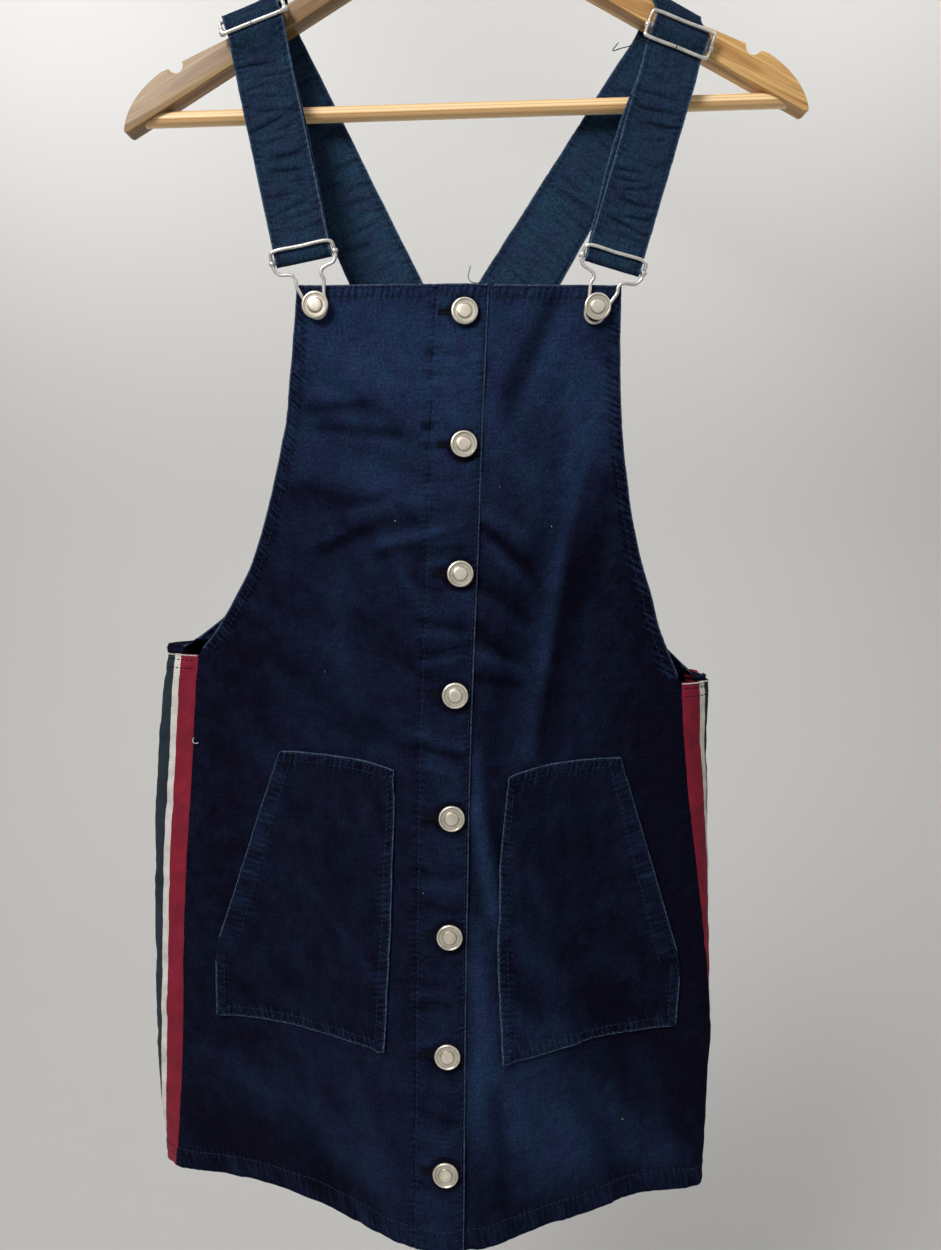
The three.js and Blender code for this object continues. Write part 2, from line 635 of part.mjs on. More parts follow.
// Each strap is one band: sewn round the slide's bar, down behind, round the buckle's bar, up in
// front, through the slide, over the hanger and down the back, where it is tucked inside the panel.
function strap(side) {
  const data = STRAPS[side];
  const frame = strapFrame(data);
  const slidePlane = slideFrame(data);
  const ply = WIRE_R + SEAM_GAP + TWILL_STRAP / 2; // from a bar's centre to the band round it
  const layer = TWILL_STRAP + SEAM_GAP;
  const stations = [];
  const width = STRAP_HALF;
  const add = (centre, direction, length) => {
    stations.push({ centre, half: direction.clone().normalize().multiplyScalar(length) });
  };
  const onSlide = (up, out) => add(place(frame.slide, slidePlane, 0, up, out), slidePlane.w, width);
  const between = (share) => frame.w.clone().lerp(slidePlane.w, share);

  // sewn end, wrapped over the slide's bar and taken back under it
  for (const angle of [-70, -30, 10, 50, 90, 125]) {
    const a = THREE.MathUtils.degToRad(angle);
    onSlide(Math.cos(a) * ply, Math.sin(a) * ply);
  }
  onSlide(-6, -1.4);
  onSlide(-9.5, -1.9);
  // down behind the front run
  const run = frame.length;
  add(place(frame.bar, frame, 0, run - 24, -1.7), between(0.25), width);
  const tail = [
    [run * 0.6, -1.4],
    [run * 0.4, -1.8],
    [run * 0.2, -2],
    [6, -ply],
  ];
  for (const [up, out] of tail) {
    const shift = data.tailShift * Math.sin((Math.PI * up) / run);
    add(place(frame.bar, frame, shift, up, out), frame.w, width);
  }
  // round the buckle's bar
  for (const angle of [-90, -45, 0, 45, 90]) {
    const a = THREE.MathUtils.degToRad(angle);
    add(place(frame.bar, frame, 0, -Math.cos(a) * ply, Math.sin(a) * ply), frame.w, width);
  }
  // up in front and under the slide's lower wire
  const front = [
    [6, ply],
    [run * 0.14, 1.4],
    [run * 0.32, 1],
    [run * 0.5, 0.8],
    [run * 0.68, 0.7],
  ];
  for (const [up, out] of front) add(place(frame.bar, frame, 0, up, out), frame.w, width);
  add(place(frame.bar, frame, 0, run - 24, layer - 1.7), between(0.25), width);
  onSlide(-9.5, 0);
  onSlide(-7.5, 0.3);
  // over the slide's bar and its wrapped end
  const over = ply + layer;
  for (const angle of [-38, 0, 38]) {
    const a = THREE.MathUtils.degToRad(angle);
    onSlide(Math.sin(a) * over * 1.15, Math.cos(a) * over);
  }
  overHanger(data, slidePlane, add);
  addMesh(`strap_${side}`, bandGeometry(stations, TWILL_STRAP), navy);
}

// From the slide's upper wire over the board's top edge and down the back.
function overHanger(data, slidePlane, add) {
  const { top, back } = data;
  const slope = THREE.MathUtils.degToRad(top.slope);
  const edgeWidth = new THREE.Vector3(Math.cos(slope), 0, Math.sin(slope));
  const faceY = -BOARD_THICK / 2;
  const blend = slidePlane.w.clone().lerp(edgeWidth, 0.5);
  const overWire = SLIDE_FRONT + WIRE_R + SEAM_GAP + TWILL_STRAP / 2;
  // the leaning slide's upper wire is under the band, the upright one's is in front of it
  const passing = data.slideLean > 20
    ? [[SLIDE_HALF_HEIGHT, overWire], [SLIDE_HALF_HEIGHT + 3.2, overWire - 1.4]]
    : [[SLIDE_HALF_HEIGHT, -0.6]];
  passing.forEach(([up, out], i) => {
    const across = passing.length > 1 && i === 0 ? slidePlane.w : blend;
    add(place(slidePlane.slide, slidePlane, 0, up, out), across, STRAP_HALF);
  });
  const crossing = data.slideLean > 20
    ? [[-1.5, 10.2], [3.5, 9.4], [8.3, 4.6]]
    : [[faceY - 2.2, -1.2], [faceY, 2.4], [-1.5, 4.4], [3.5, 4], [8.3, 1]];
  for (const [y, up] of crossing) {
    add(new THREE.Vector3(top.x, y, top.z + up), edgeWidth, STRAP_HALF);
  }
  const lean = THREE.MathUtils.degToRad(back.lean);
  const across = new THREE.Vector3(Math.cos(lean), 0, Math.sin(lean));
  const steps = 8;
  for (let i = 0; i <= steps; i += 1) {
    const t = i / steps;
    const centre = new THREE.Vector3(
      THREE.MathUtils.lerp(back.from[0], back.to[0], t),
      THREE.MathUtils.lerp(9.2, 10.6, t) + 1.6 * Math.sin(Math.PI * t),
      THREE.MathUtils.lerp(back.from[1], back.to[1], t),
    );
    add(centre, across, THREE.MathUtils.lerp(STRAP_HALF, back.halfEnd, t));
  }
}

// The hanger, drawn flat in its own plane and turned by its tilt on the rail.
const hanger = new THREE.Group();
hanger.rotation.y = -HANGER_TILT;
dress.add(hanger);

function boardShape() {
  const shape = new THREE.Shape();
  shape.moveTo(0, -62);
  shape.bezierCurveTo(18, -62, 16, -80, 34, -90);
  shape.lineTo(75, -114.5);
  shape.lineTo(108, -132.3);
  shape.lineTo(148, -151.8);
  shape.lineTo(178, -164.5);
  shape.absarc(183, -166.5, 5, Math.PI * 0.87, Math.PI * 1.84, false);
  shape.lineTo(192, -170.5);
  shape.bezierCurveTo(206, -179, 217, -192, 218.5, -205);
  shape.lineTo(216, -205.8);
  shape.lineTo(75, -128);
  shape.bezierCurveTo(40, -109, 20, -96, 0, -94);
  shape.bezierCurveTo(-20, -96, -40, -109, -75, -128);
  shape.lineTo(-216, -205.8);
  shape.lineTo(-218.5, -205);
  shape.bezierCurveTo(-217, -192, -206, -179, -192, -170.5);
  shape.absarc(-183, -166.5, 5, -Math.PI * 0.84, Math.PI * 0.13, false);
  shape.lineTo(-148, -151.8);
  shape.lineTo(-108, -132.3);
  shape.lineTo(-75, -114.5);
  shape.lineTo(-34, -90);
  shape.bezierCurveTo(-16, -80, -18, -62, 0, -62);
  return shape;
}

function hangerBoard() {
  const board = new THREE.ExtrudeGeometry(boardShape(), { depth: BOARD_THICK, bevelEnabled: false, curveSegments: 6 });
  board.translate(0, 0, -BOARD_THICK / 2);
  board.rotateX(Math.PI / 2);
  let solid = toSolid(board);
  const socket = rodBetween(
    new THREE.Vector3(-BAR_HALF - SOCKET_CLEARANCE, 0, BAR_Z),
    new THREE.Vector3(BAR_HALF + SOCKET_CLEARANCE, 0, BAR_Z),
    BAR_R + SOCKET_CLEARANCE,
    16,
  );
  solid = solid.subtract(toSolid(socket));
  const drill = rodBetween(new THREE.Vector3(0, 0, -86), new THREE.Vector3(0, 0, -50), HOOK_WIRE_R + SOCKET_CLEARANCE, 12);
  solid = solid.subtract(toSolid(drill));
  addMesh('hanger_board', toGeometry(solid), beech, hanger);
  const bar = rodBetween(new THREE.Vector3(-BAR_HALF, 0, BAR_Z), new THREE.Vector3(BAR_HALF, 0, BAR_Z), BAR_R, 16);
  addMesh('hanger_bar', mergeVertices(stripped(bar)), beech, hanger);
}

function hangerHook() {
  const bend = 19;
  const middle = HOOK_WIRE_R - bend;
  const points = [[0, -85], [0, -62], [0, -46], [3.5, -38.5], [12, -32]];
  for (let degrees = -20; degrees <= 205; degrees += 22.5) {
    const a = THREE.MathUtils.degToRad(degrees);
    points.push([bend * Math.cos(a), middle + bend * Math.sin(a)]);
  }
  const path = new THREE.CatmullRomCurve3(points.map(([x, z]) => new THREE.Vector3(x, 0, z)), false, 'centripetal');
  const circle = new THREE.Shape();
  circle.absarc(0, 0, HOOK_WIRE_R, 0, Math.PI * 2, false);
  const wire = new THREE.ExtrudeGeometry(circle, { steps: 40, curveSegments: 4, bevelEnabled: false, extrudePath: path });
  addMesh('hanger_hook', mergeVertices(stripped(wire), 1e-4), steel, hanger);
}

rightFront();
leftFront();
backPanel();
for (const side of ['right', 'left']) {
  sideTape(side);
  pocket(side);
  strap(side);
  slide(side);
  buckle(side);
}
buttons();
hangerBoard();
hangerHook();

export default dress;
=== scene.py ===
import math

import bpy
import numpy as np
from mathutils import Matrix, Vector


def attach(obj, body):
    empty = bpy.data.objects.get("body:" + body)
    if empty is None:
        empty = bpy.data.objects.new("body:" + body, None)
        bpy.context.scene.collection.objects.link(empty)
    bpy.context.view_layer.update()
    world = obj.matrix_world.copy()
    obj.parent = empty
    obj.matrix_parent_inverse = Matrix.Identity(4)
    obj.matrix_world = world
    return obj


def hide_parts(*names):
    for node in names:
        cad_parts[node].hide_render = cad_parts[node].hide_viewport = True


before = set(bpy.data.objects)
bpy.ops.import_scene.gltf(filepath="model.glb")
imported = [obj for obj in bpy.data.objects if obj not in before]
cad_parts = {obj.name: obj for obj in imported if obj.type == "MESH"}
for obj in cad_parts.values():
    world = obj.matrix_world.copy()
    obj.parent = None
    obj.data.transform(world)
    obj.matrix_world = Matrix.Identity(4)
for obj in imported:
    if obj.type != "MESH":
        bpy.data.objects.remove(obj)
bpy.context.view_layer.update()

# Camera, light and ground
# The dress hangs at eye height and is seen from close by, a little below the bib and tipped down.
# A pale sweep takes the place of the room, with broad soft lights to either side of the lens.
FOCAL_PIXELS = 940
PICTURE_HEIGHT = 1250
SENSOR = 36.0

bpy.ops.object.select_all(action="DESELECT")
lens = bpy.data.cameras.new("camera")
lens.sensor_width = SENSOR
lens.lens = FOCAL_PIXELS / PICTURE_HEIGHT * SENSOR
lens.clip_start = 0.02
camera = bpy.data.objects.new("camera", lens)
camera.location = (0.009, -0.645, -0.440)
camera.rotation_euler = (math.radians(90 - 8), 0, 0)
bpy.context.scene.collection.objects.link(camera)
bpy.context.scene.camera = camera


def soft_light(name, place, target, size, watts, colour):
    bpy.ops.object.light_add(type="AREA", location=place)
    lamp = bpy.context.object
    lamp.name = name
    lamp.data.shape = "DISK"
    lamp.data.size = size
    lamp.data.energy = watts
    lamp.data.color = colour
    lamp.rotation_euler = (Vector(target) - Vector(place)).to_track_quat("-Z", "Y").to_euler()


soft_light("key_light", (-1.05, -1.45, 0.85), (0, 0, -0.5), 0.9, 47, (1.0, 0.98, 0.95))
soft_light("fill_light", (1.7, -1.5, 0.1), (0, 0, -0.6), 1.4, 3.5, (0.92, 0.96, 1.0))
soft_light("back_light", (0.9, 1.7, 1.0), (0, 0.1, -0.5), 1.2, 10, (1.0, 1.0, 1.0))
soft_light("wall_light", (-1.4, 1.0, 1.4), (-0.9, 2.4, 0.8), 1.0, 34, (1.0, 0.99, 0.97))
soft_light("far_wall_light", (1.3, 1.0, 1.5), (0.7, 2.4, 0.95), 1.0, 28, (1.0, 0.99, 0.97))


class Recipe:
    """The shader nodes of one material, or of the room; each call adds a node and returns its output."""

    def __init__(self, owner):
        owner.use_nodes = True
        self.nodes = owner.node_tree.nodes
        self.links = owner.node_tree.links

    def put(self, socket, value):
        """Sets a socket to a plain value, or links it to the output of another node."""
        if isinstance(value, bpy.types.NodeSocket):
            self.links.new(value, socket)
        else:
            socket.default_value = value

    def node(self, kind, output, inputs=None, **settings):
        made = self.nodes.new(f"ShaderNode{kind}")
        for name, value in settings.items():
            setattr(made, name, value)
        for name, value in (inputs or {}).items():
            self.put(made.inputs[name], value)
        return made.outputs[output]

    def noise(self, place, scale, detail=2.0, stretch=(1, 1, 1), turned=0.0, distortion=0.0):
        turn = self.node("Mapping", "Vector", {"Vector": place, "Scale": stretch, "Rotation": (0, 0, turned)})
        inputs = {"Vector": turn, "Scale": scale, "Detail": detail, "Distortion": distortion}
        return self.node("TexNoise", "Fac", inputs)

    def ramp(self, value, low, high, at_low=0.0, at_high=1.0):
        inputs = {"Value": value, "From Min": low, "From Max": high, "To Min": at_low, "To Max": at_high}
        return self.node("MapRange", "Result", inputs)

    def mix(self, factor, first, second, blend="MIX"):
        inputs = {"Factor": factor, 6: first, 7: second}
        return self.node("Mix", 2, inputs, data_type="RGBA", blend_type=blend)

    def math(self, kind, *values):
        return self.node("Math", 0, dict(enumerate(values)), operation=kind)

    def times(self, first, *others):
        for value in others:
            first = self.math("MULTIPLY", first, value)
        return first

    def scaled(self, colour, strength):
        return self.node("VectorMath", 0, {0: colour, "Scale": strength}, operation="SCALE")

    def tinted(self, colour, tint):
        return self.node("VectorMath", 0, {0: colour, 1: tint}, operation="MULTIPLY")

    def mark(self, name, output="Fac"):
        return self.node("Attribute", output, attribute_name=name)

    def stops(self, factor, table, interpolation="LINEAR"):
        """A colour for each share of the way along a table of places and colours."""
        made = self.nodes.new("ShaderNodeValToRGB")
        made.color_ramp.interpolation = interpolation
        for i, (place, colour) in enumerate(table):
            stop = made.color_ramp.elements[i] if i < 2 else made.color_ramp.elements.new(place)
            stop.position = place
            stop.color = colour
        self.put(made.inputs["Fac"], factor)
        return made.outputs["Color"]

    def bump(self, height, strength, distance):
        return self.node("Bump", "Normal", {"Height": height, "Strength": strength, "Distance": distance})

    def finish(self, inputs, shader="Principled BSDF"):
        """Sets the inputs of the surface, or of the room's background."""
        for name, value in inputs.items():
            self.put(self.nodes[shader].inputs[name], value)


room = bpy.data.worlds.new("room")
bpy.context.scene.world = room
bpy.context.scene.view_settings.view_transform = "Standard"
sky = Recipe(room)
sky_height = sky.node("SeparateXYZ", "Z", {"Vector": sky.node("TexCoord", "Generated")})
sky_colour = sky.mix(sky.ramp(sky_height, -0.45, 0.75), (0.20, 0.20, 0.21, 1), (0.92, 0.91, 0.89, 1))
sky.finish({"Color": sky_colour, "Strength": 0.55}, "Background")

SWEEP = [(-4.5, -1.45), (0.9, -1.45), (1.5, -1.38), (1.95, -1.15), (2.25, -0.75), (2.4, -0.2), (2.45, 2.6)]
bpy.ops.mesh.primitive_grid_add(x_subdivisions=2, y_subdivisions=len(SWEEP) - 1, size=2)
sweep = bpy.context.object
sweep.name = "sweep"
for i, vertex in enumerate(sweep.data.vertices):
    depth, height = SWEEP[i // 3]
    vertex.co = ((i % 3 - 1) * 5.0, depth, height)
rounding = sweep.modifiers.new("rounding", "SUBSURF")
rounding.levels = rounding.render_levels = 3
bpy.ops.object.modifier_apply(modifier="rounding")
bpy.ops.object.shade_smooth()
paint = bpy.data.materials.new("pale_paint")
Recipe(paint).finish({"Base Color": (0.45, 0.445, 0.44, 1), "Roughness": 0.9})
sweep.data.materials.append(paint)

# Front panels
# Two pieces of cotton twill, the wearer's right lapping over the left at the fly, with a turned hem,
# a narrow turned edge at each armhole and a deeper one along the bib's top. They hang in a keel at the fly.
MM = 0.001
CLOTH = 1.2
LAP_GAP = 0.5
HEM_Z = -945.0
BIB_TOP_Z = -308.0
UNDERARM_Z = {"right": -552.0, "left": -571.0}
TAPE_WIDTH = 35.0
FLY_WIDTH = 34.0

SECTION_COLUMNS = (
    "z", "keel_x", "keel_y", "left_x", "left_y", "right_x", "right_y",
    "left_edge", "right_edge", "back", "flute", "fly", "wrap",
)
SECTIONS = np.array([
    (-308, 0, -22, -140, -16, 140, -16, -152, 152, 13.5, 0, 21, 0),
    (-400, 0, -29, -152, -12, 146, -13, -168, 160, 15, 0, 17, 0),
    (-480, 0, -35, -166, -8, 150, -10, -186, 168, 17, 1, 14.3, 0),
    (-560, -1, -42, -180, -4, 154, -8, -206, 175, 19, 2, 12, 0),
    (-640, -2, -50, -188, -3, 161, -9, -216.5, 178, 21, 3, 10.5, 0),
    (-720, -3, -58, -196, -2, 172, -11, -222.5, 181, 23, 4.5, 10, 0),
    (-815, -4, -67, -202, 0, 179, -15, -226, 183, 25, 6, 9.8, 7),
    (-880, -4, -74, -207, 2, 179, -15, -227, 182, 26.5, 7, 9.2, 14),
    (-945, -4, -80, -214, 4, 178, -15, -224, 181, 28, 8, 8.5, 19),
])
FLANK_STATIONS = (0.12, 0.25, 0.4, 0.58, 0.78)
KEEL_SPREAD = 0.52
KEEL_POWER = 1.8
BACK_STATIONS = 9
BACK_FLUTES = 2.5
CORNER_INSET = 12.0
RING_STEPS = 10

ARMHOLE_COLUMNS = ("z", "right", "left")
FRONT_ARMHOLE = np.array([
    (-308, -102.5, 106),
    (-350, -107, 106.5),
    (-400, -114, 109),
    (-450, -126.5, 116),
    (-485, -138, 124),
    (-510, -151, 132),
    (-530, -163, 137.5),
    (-545, -174.5, 143.5),
])

# Folds and creases: from x0, z0 to x1, z1, with the width and height of each one's swell.
FRONT_FOLDS = np.array([
    (72, -452, 34, -606, 17, -5),
    (44, -470, 22, -560, 13, 3),
    (66, -850, 92, -940, 26, 4),
    (-118, -392, -52, -424, 11, -2.4),
    (-96, -690, -58, -780, 20, 3),
])
BACK_FOLDS = np.array([
    (-58, -372, -112, -470, 16, 3.5),
    (50, -380, 92, -480, 16, -3),
    (-20, -420, -34, -600, 22, 3),
])
FLY_CREASES = np.array([
    (-16, -351, 6, -352, 2.8, -1.0),
    (-15, -364, -2, -365, 2.4, -0.8),
    (-14, -373, 0, -374, 2.6, 0.7),
    (-18, -398, -4, -398, 3.0, -1.5),
    (-18, -411, -8, -412, 2.4, -1.0),
    (-16, -431, -4, -433, 2.6, -0.8),
    (-17, -440, -6, -442, 2.4, 0.6),
    (-15, -450, -5, -452, 2.4, -0.8),
    (-18, -466, 2, -462, 3.2, 1.0),
    (-18, -480, 2, -477, 3.0, -1.4),
    (-20, -487, -4, -486, 2.8, 0.9),
    (-20, -502, -8, -503, 2.4, -0.9),
    (-22, -524, 4, -528, 3.4, -1.3),
    (-24, -531, -2, -534, 3.0, 1.0),
    (-20, -545, 8, -541, 3.0, -1.5),
    (-22, -552, -4, -550, 2.8, 1.0),
    (-22, -560, -6, -562, 2.6, -0.8),
    (-24, -578, -8, -580, 2.6, -0.8),
    (-26, -598, 4, -606, 3.2, 1.2),
    (-26, -606, 2, -613, 3.0, -1.5),
    (-24, -619, 0, -622, 3.0, 1.0),
    (-22, -655, -6, -658, 2.6, -0.8),
    (-26, -688, -4, -692, 3.0, -1.2),
    (-26, -697, 0, -701, 3.2, 1.1),
    (-24, -710, 4, -716, 3.2, -1.2),
    (-24, -736, -8, -738, 2.6, -0.7),
    (-26, -772, -4, -768, 3.2, 0.8),
    (-26, -780, -6, -777, 3.0, -0.9),
    (-24, -815, -8, -817, 2.6, -0.7),
    (-26, -850, -2, -856, 3.4, -1.0),
    (-26, -866, -6, -870, 3.2, 0.8),
    (-26, -900, -8, -905, 3.2, -0.9),
])
RIGHT_CREASES = np.array([
    (-92, -352, -58, -371, 6, 0.9),
    (-96, -386, -62, -383, 3.6, -1.0),
    (-88, -398, -40, -402, 3.8, -1.1),
    (-84, -404, -44, -409, 4.0, 0.8),
    (-52, -440, -30, -446, 3.4, 0.9),
    (-66, -447, -36, -441, 3.0, -0.8),
    (-98, -437, -70, -446, 4.2, -1.1),
    (-50, -474, -14, -467, 2.8, 1.4),
    (-50, -481, -18, -475, 2.8, -1.1),
    (-86, -470, -62, -458, 3.4, 0.9),
    (-84, -478, -60, -466, 3.2, -0.9),
    (-40, -448, -22, -462, 3.0, -0.8),
    (-100, -500, -70, -512, 4.0, 0.8),
    (-66, -520, -40, -534, 3.6, -0.8),
    (-46, -548, -24, -566, 3.6, 0.8),
    (-96, -590, -70, -602, 4.0, -0.7),
    (-70, -372, -38, -398, 7, -0.9),
    (-58, -366, -26, -388, 6, 0.8),
    (-104, -410, -66, -446, 8, 0.8),
    (-60, -452, -30, -488, 7, 1.0),
    (-52, -470, -34, -510, 6, -0.9),
    (-130, -520, -84, -548, 9, 0.9),
    (-112, -560, -60, -600, 8, -0.8),
    (-150, -600, -118, -640, 10, 0.9),
    (-60, -590, -34, -606, 5, -0.8),
    (-178, -850, -120, -872, 12, 1.2),
    (-120, -880, -90, -940, 13, -1.4),
    (-70, -850, -46, -930, 10, 1.2),
])
LEFT_CREASES = np.array([
    (66, -440, 44, -600, 12, 1.6),
    (88, -440, 62, -590, 15, -1.6),
    (15, -456, 42, -470, 6, 1.1),
    (16, -498, 46, -524, 4.5, -1.5),
    (20, -508, 52, -536, 5, 1.0),
    (16, -461, 44, -484, 3.2, -0.8),
    (20, -474, 46, -498, 3.4, 0.9),
    (30, -500, 56, -530, 4.0, -0.7),
    (13, -528, 30, -544, 3.4, -1.0),
    (14, -560, 38, -566, 3.4, -0.9),
    (34, -404, 52, -426, 4.5, 0.6),
    (88, -330, 98, -352, 5, -0.8),
    (24, -580, 36, -600, 3.6, 0.7),
    (15, -548, 42, -556, 4, 0.9),
    (14, -610, 14, -650, 4.5, 1.6),
    (14, -650, 26, -716, 6, 2.0),
    (22, -650, 36, -700, 5, -1.4),
    (12, -735, 24, -820, 6, 1.4),
    (62, -322, 36, -382, 6, -1.3),
    (78, -322, 54, -376, 8, 1.0),
    (96, -410, 84, -470, 8, 0.9),
    (42, -846, 60, -920, 7, 1.3),
    (26, -840, 34, -930, 6, -1.2),
    (84, -856, 118, -926, 9, -1.2),
    (130, -838, 150, -900, 9, 1.1),
])
# Painted light and shade: zones where the cloth is painted bluer, as lit (above nought), or deeper, as in
# shade (below):
# from x0, z0 to x1, z1, with the width and strength of each.
RIGHT_PAINTED_LIGHT_ZONES = np.array([
    (-62, -322, -18, -346, 13, 0.34),
    (-88, -345, -40, -352, 10, 0.28),
    (-76, -373, -58, -366, 9, 0.30),
    (-46, -366, -28, -372, 7, 0.20),
    (-4, -332, -1, -402, 14, 0.26),
    (-97, -388, -62, -386, 5, -0.30),
    (-100, -378, -92, -350, 5, -0.22),
    (-86, -399, -38, -403, 5, -0.28),
    (-52, -431, -28, -441, 10, 0.26),
    (-104, -440, -62, -448, 9, -0.34),
    (-66, -453, -40, -446, 4, 0.20),
    (-74, -461, -30, -457, 4, -0.22),
    (-48, -471, -14, -464, 3.6, 0.36),
    (-92, -478, -58, -462, 5, -0.26),
    (-44, -490, -26, -506, 8, 0.26),
    (2, -506, 9, -514, 7, 0.34),
    (-30, -478, -27, -494, 5, -0.22),
    (-82, -500, -76, -566, 11, 0.14),
    (-62, -530, -20, -562, 11, -0.16),
    (-118, -520, -150, -600, 16, -0.10),
    (-10, -626, -4, -640, 9, 0.12),
    (-12, -690, 2, -696, 4, 0.18),
    (-78, -735, -56, -762, 3.5, 0.18),
    (-152, -872, -60, -902, 17, 0.20),
    (-12, -880, -20, -936, 13, 0.14),
    (-150, -925, -60, -930, 24, -0.16),
    (-28, -640, -30, -780, 14, -0.12),
])
LEFT_PAINTED_LIGHT_ZONES = np.array([
    (58, -334, 92, -372, 17, 0.28),
    (85, -372, 78, -440, 10, 0.32),
    (57, -322, 32, -372, 5, -0.34),
    (79, -416, 67, -490, 8, 0.42),
    (67, -490, 58, -548, 7, 0.44),
    (58, -548, 47, -612, 6, 0.34),
    (100, -430, 84, -500, 9, -0.20),
    (88, -425, 75, -490, 4, -0.20),
    (75, -490, 66, -548, 4, -0.24),
    (66, -548, 55, -610, 4, -0.18),
    (82, -508, 72, -560, 9, -0.06),
    (30, -410, 42, -430, 13, 0.18),
    (20, -452, 46, -468, 4, 0.30),
    (20, -464, 46, -486, 3.6, -0.30),
    (22, -477, 46, -500, 4, 0.22),
    (14, -527, 32, -545, 4, -0.22),
    (16, -560, 38, -566, 4, -0.22),
    (15, -544, 40, -556, 4, 0.22),
    (13, -612, 13.5, -650, 3.5, 0.42),
    (13.5, -650, 24, -712, 5.5, 0.62),
    (24, -712, 27, -726, 4, 0.30),
    (11, -755, 18, -830, 7, 0.46),
    (14, -730, 26, -800, 8, 0.34),
    (22, -842, 62, -880, 27, 0.70),
    (52, -824, 92, -862, 17, 0.34),
    (84, -896, 142, -916, 17, 0.54),
    (104, -800, 150, -852, 14, -0.24),
    (16, -868, 38, -908, 4, 0.20),
    (142, -600, 150, -760, 12, -0.12),
    (34, -664, 38, -720, 6, 0.16),
    (48, -690, 58, -726, 6, 0.16),
    (40, -736, 62, -770, 10, 0.32),
    (34, -790, 62, -802, 11, 0.42),
    (88, -872, 122, -884, 15, 0.26),
    (84, -560, 70, -640, 16, 0.10),
])


def smooth_column(table, columns, name, z):
    """A smooth curve through one column of a table whose rows run downwards in z."""
    heights, values = table[:, 0], table[:, columns.index(name)]
    slopes = np.empty(len(values))
    slopes[1:-1] = (values[2:] - values[:-2]) / (heights[2:] - heights[:-2])
    slopes[0] = (values[1] - values[0]) / (heights[1] - heights[0])
    slopes[-1] = (values[-1] - values[-2]) / (heights[-1] - heights[-2])
    i = int(np.clip(np.searchsorted(-heights, -z) - 1, 0, len(values) - 2))
    span = heights[i + 1] - heights[i]
    t = min(max((z - heights[i]) / span, 0.0), 1.0)
    return (
        (2 * t**3 - 3 * t**2 + 1) * values[i]
        + (t**3 - 2 * t**2 + t) * span * slopes[i]
        + (3 * t**2 - 2 * t**3) * values[i + 1]
        + (t**3 - t**2) * span * slopes[i + 1]
    )


def section(z, name):
    return smooth_column(SECTIONS, SECTION_COLUMNS, name, z)


def swell(folds, x, z):
    """Height of a set of folds, each a bell across its line that dies away past its ends."""
    height = np.zeros(np.broadcast(x, z).shape)
    for x0, z0, x1, z1, width, rise in folds:
        length = math.hypot(x1 - x0, z1 - z0)
        along = ((x - x0) * (x1 - x0) + (z - z0) * (z1 - z0)) / length
        across = ((x - x0) * (z1 - z0) - (z - z0) * (x1 - x0)) / length
        past = np.maximum(0, np.maximum(-along, along - length))
        height += rise * np.exp(-((across / width) ** 2) - (past / (1.6 * width)) ** 2)
    return height


def closed_curve(points, steps):
    """A centripetal curve through a closed row of points, as a fine polyline."""
    count = len(points)
    before, here = points[(np.arange(count) - 1) % count], points
    after, beyond = points[(np.arange(count) + 1) % count], points[(np.arange(count) + 2) % count]
    gap = lambda a, b: np.maximum(((b - a) ** 2).sum(1), 1e-9)[:, None] ** 0.25
    d0, d1, d2 = gap(before, here), gap(here, after), gap(after, beyond)
    m1 = ((here - before) / d0 - (after - before) / (d0 + d1) + (after - here) / d1) * d1
    m2 = ((after - here) / d1 - (beyond - here) / (d1 + d2) + (beyond - after) / d2) * d1
    t = (np.arange(steps) / steps)[None, :, None]
    here, after, m1, m2 = (a[:, None, :] for a in (here, after, m1, m2))
    curve = here + m1 * t + (-3 * here + 3 * after - 2 * m1 - m2) * t**2
    curve += (2 * here - 2 * after + m1 + m2) * t**3
    flat = curve.reshape(-1, points.shape[1])
    return np.vstack([flat, flat[:1]])


rings = {}


def ring_at(z):
    """The closed ring of the dress at one height, from the keel round by +X."""
    key = round(float(z), 3)
    if key in rings:
        return rings[key]
    v = {name: section(z, name) for name in SECTION_COLUMNS[1:]}

    def flank(share, end_x, end_y):
        kept = math.exp(-((share / KEEL_SPREAD) ** KEEL_POWER))
        return (v["keel_x"] + share * (end_x - v["keel_x"]), end_y + (v["keel_y"] - end_y) * kept)

    stations = [(v["keel_x"], v["keel_y"])]
    stations += [flank(share, v["right_x"], v["right_y"]) for share in FLANK_STATIONS]
    right_corner = len(stations)
    stations.append((v["right_x"], v["right_y"]))
    stations.append((v["right_edge"], (v["right_y"] + v["back"]) / 2))
    for i in range(BACK_STATIONS):
        t = i / (BACK_STATIONS - 1)
        wave = math.sin(math.pi * t) * math.sin(2 * math.pi * BACK_FLUTES * t + 0.6)
        x = (v["right_edge"] - CORNER_INSET) * (1 - t) + (v["left_edge"] + CORNER_INSET) * t
        stations.append((x, v["back"] + v["flute"] * wave))
    stations.append((v["left_edge"], (v["left_y"] + v["back"]) / 2))
    left_corner = len(stations)
    stations.append((v["left_x"], v["left_y"]))
    stations += [flank(share, v["left_x"], v["left_y"]) for share in reversed(FLANK_STATIONS)]
    line = closed_curve(np.array(stations), RING_STEPS)
    lengths = np.concatenate([[0], np.cumsum(np.hypot(*np.diff(line, axis=0).T))])
    ring = {"line": line, "lengths": lengths, "total": lengths[-1]}
    ring["right"] = lengths[right_corner * RING_STEPS]
    ring["left"] = lengths[left_corner * RING_STEPS] - ring["total"]
    rings[key] = ring
    return ring


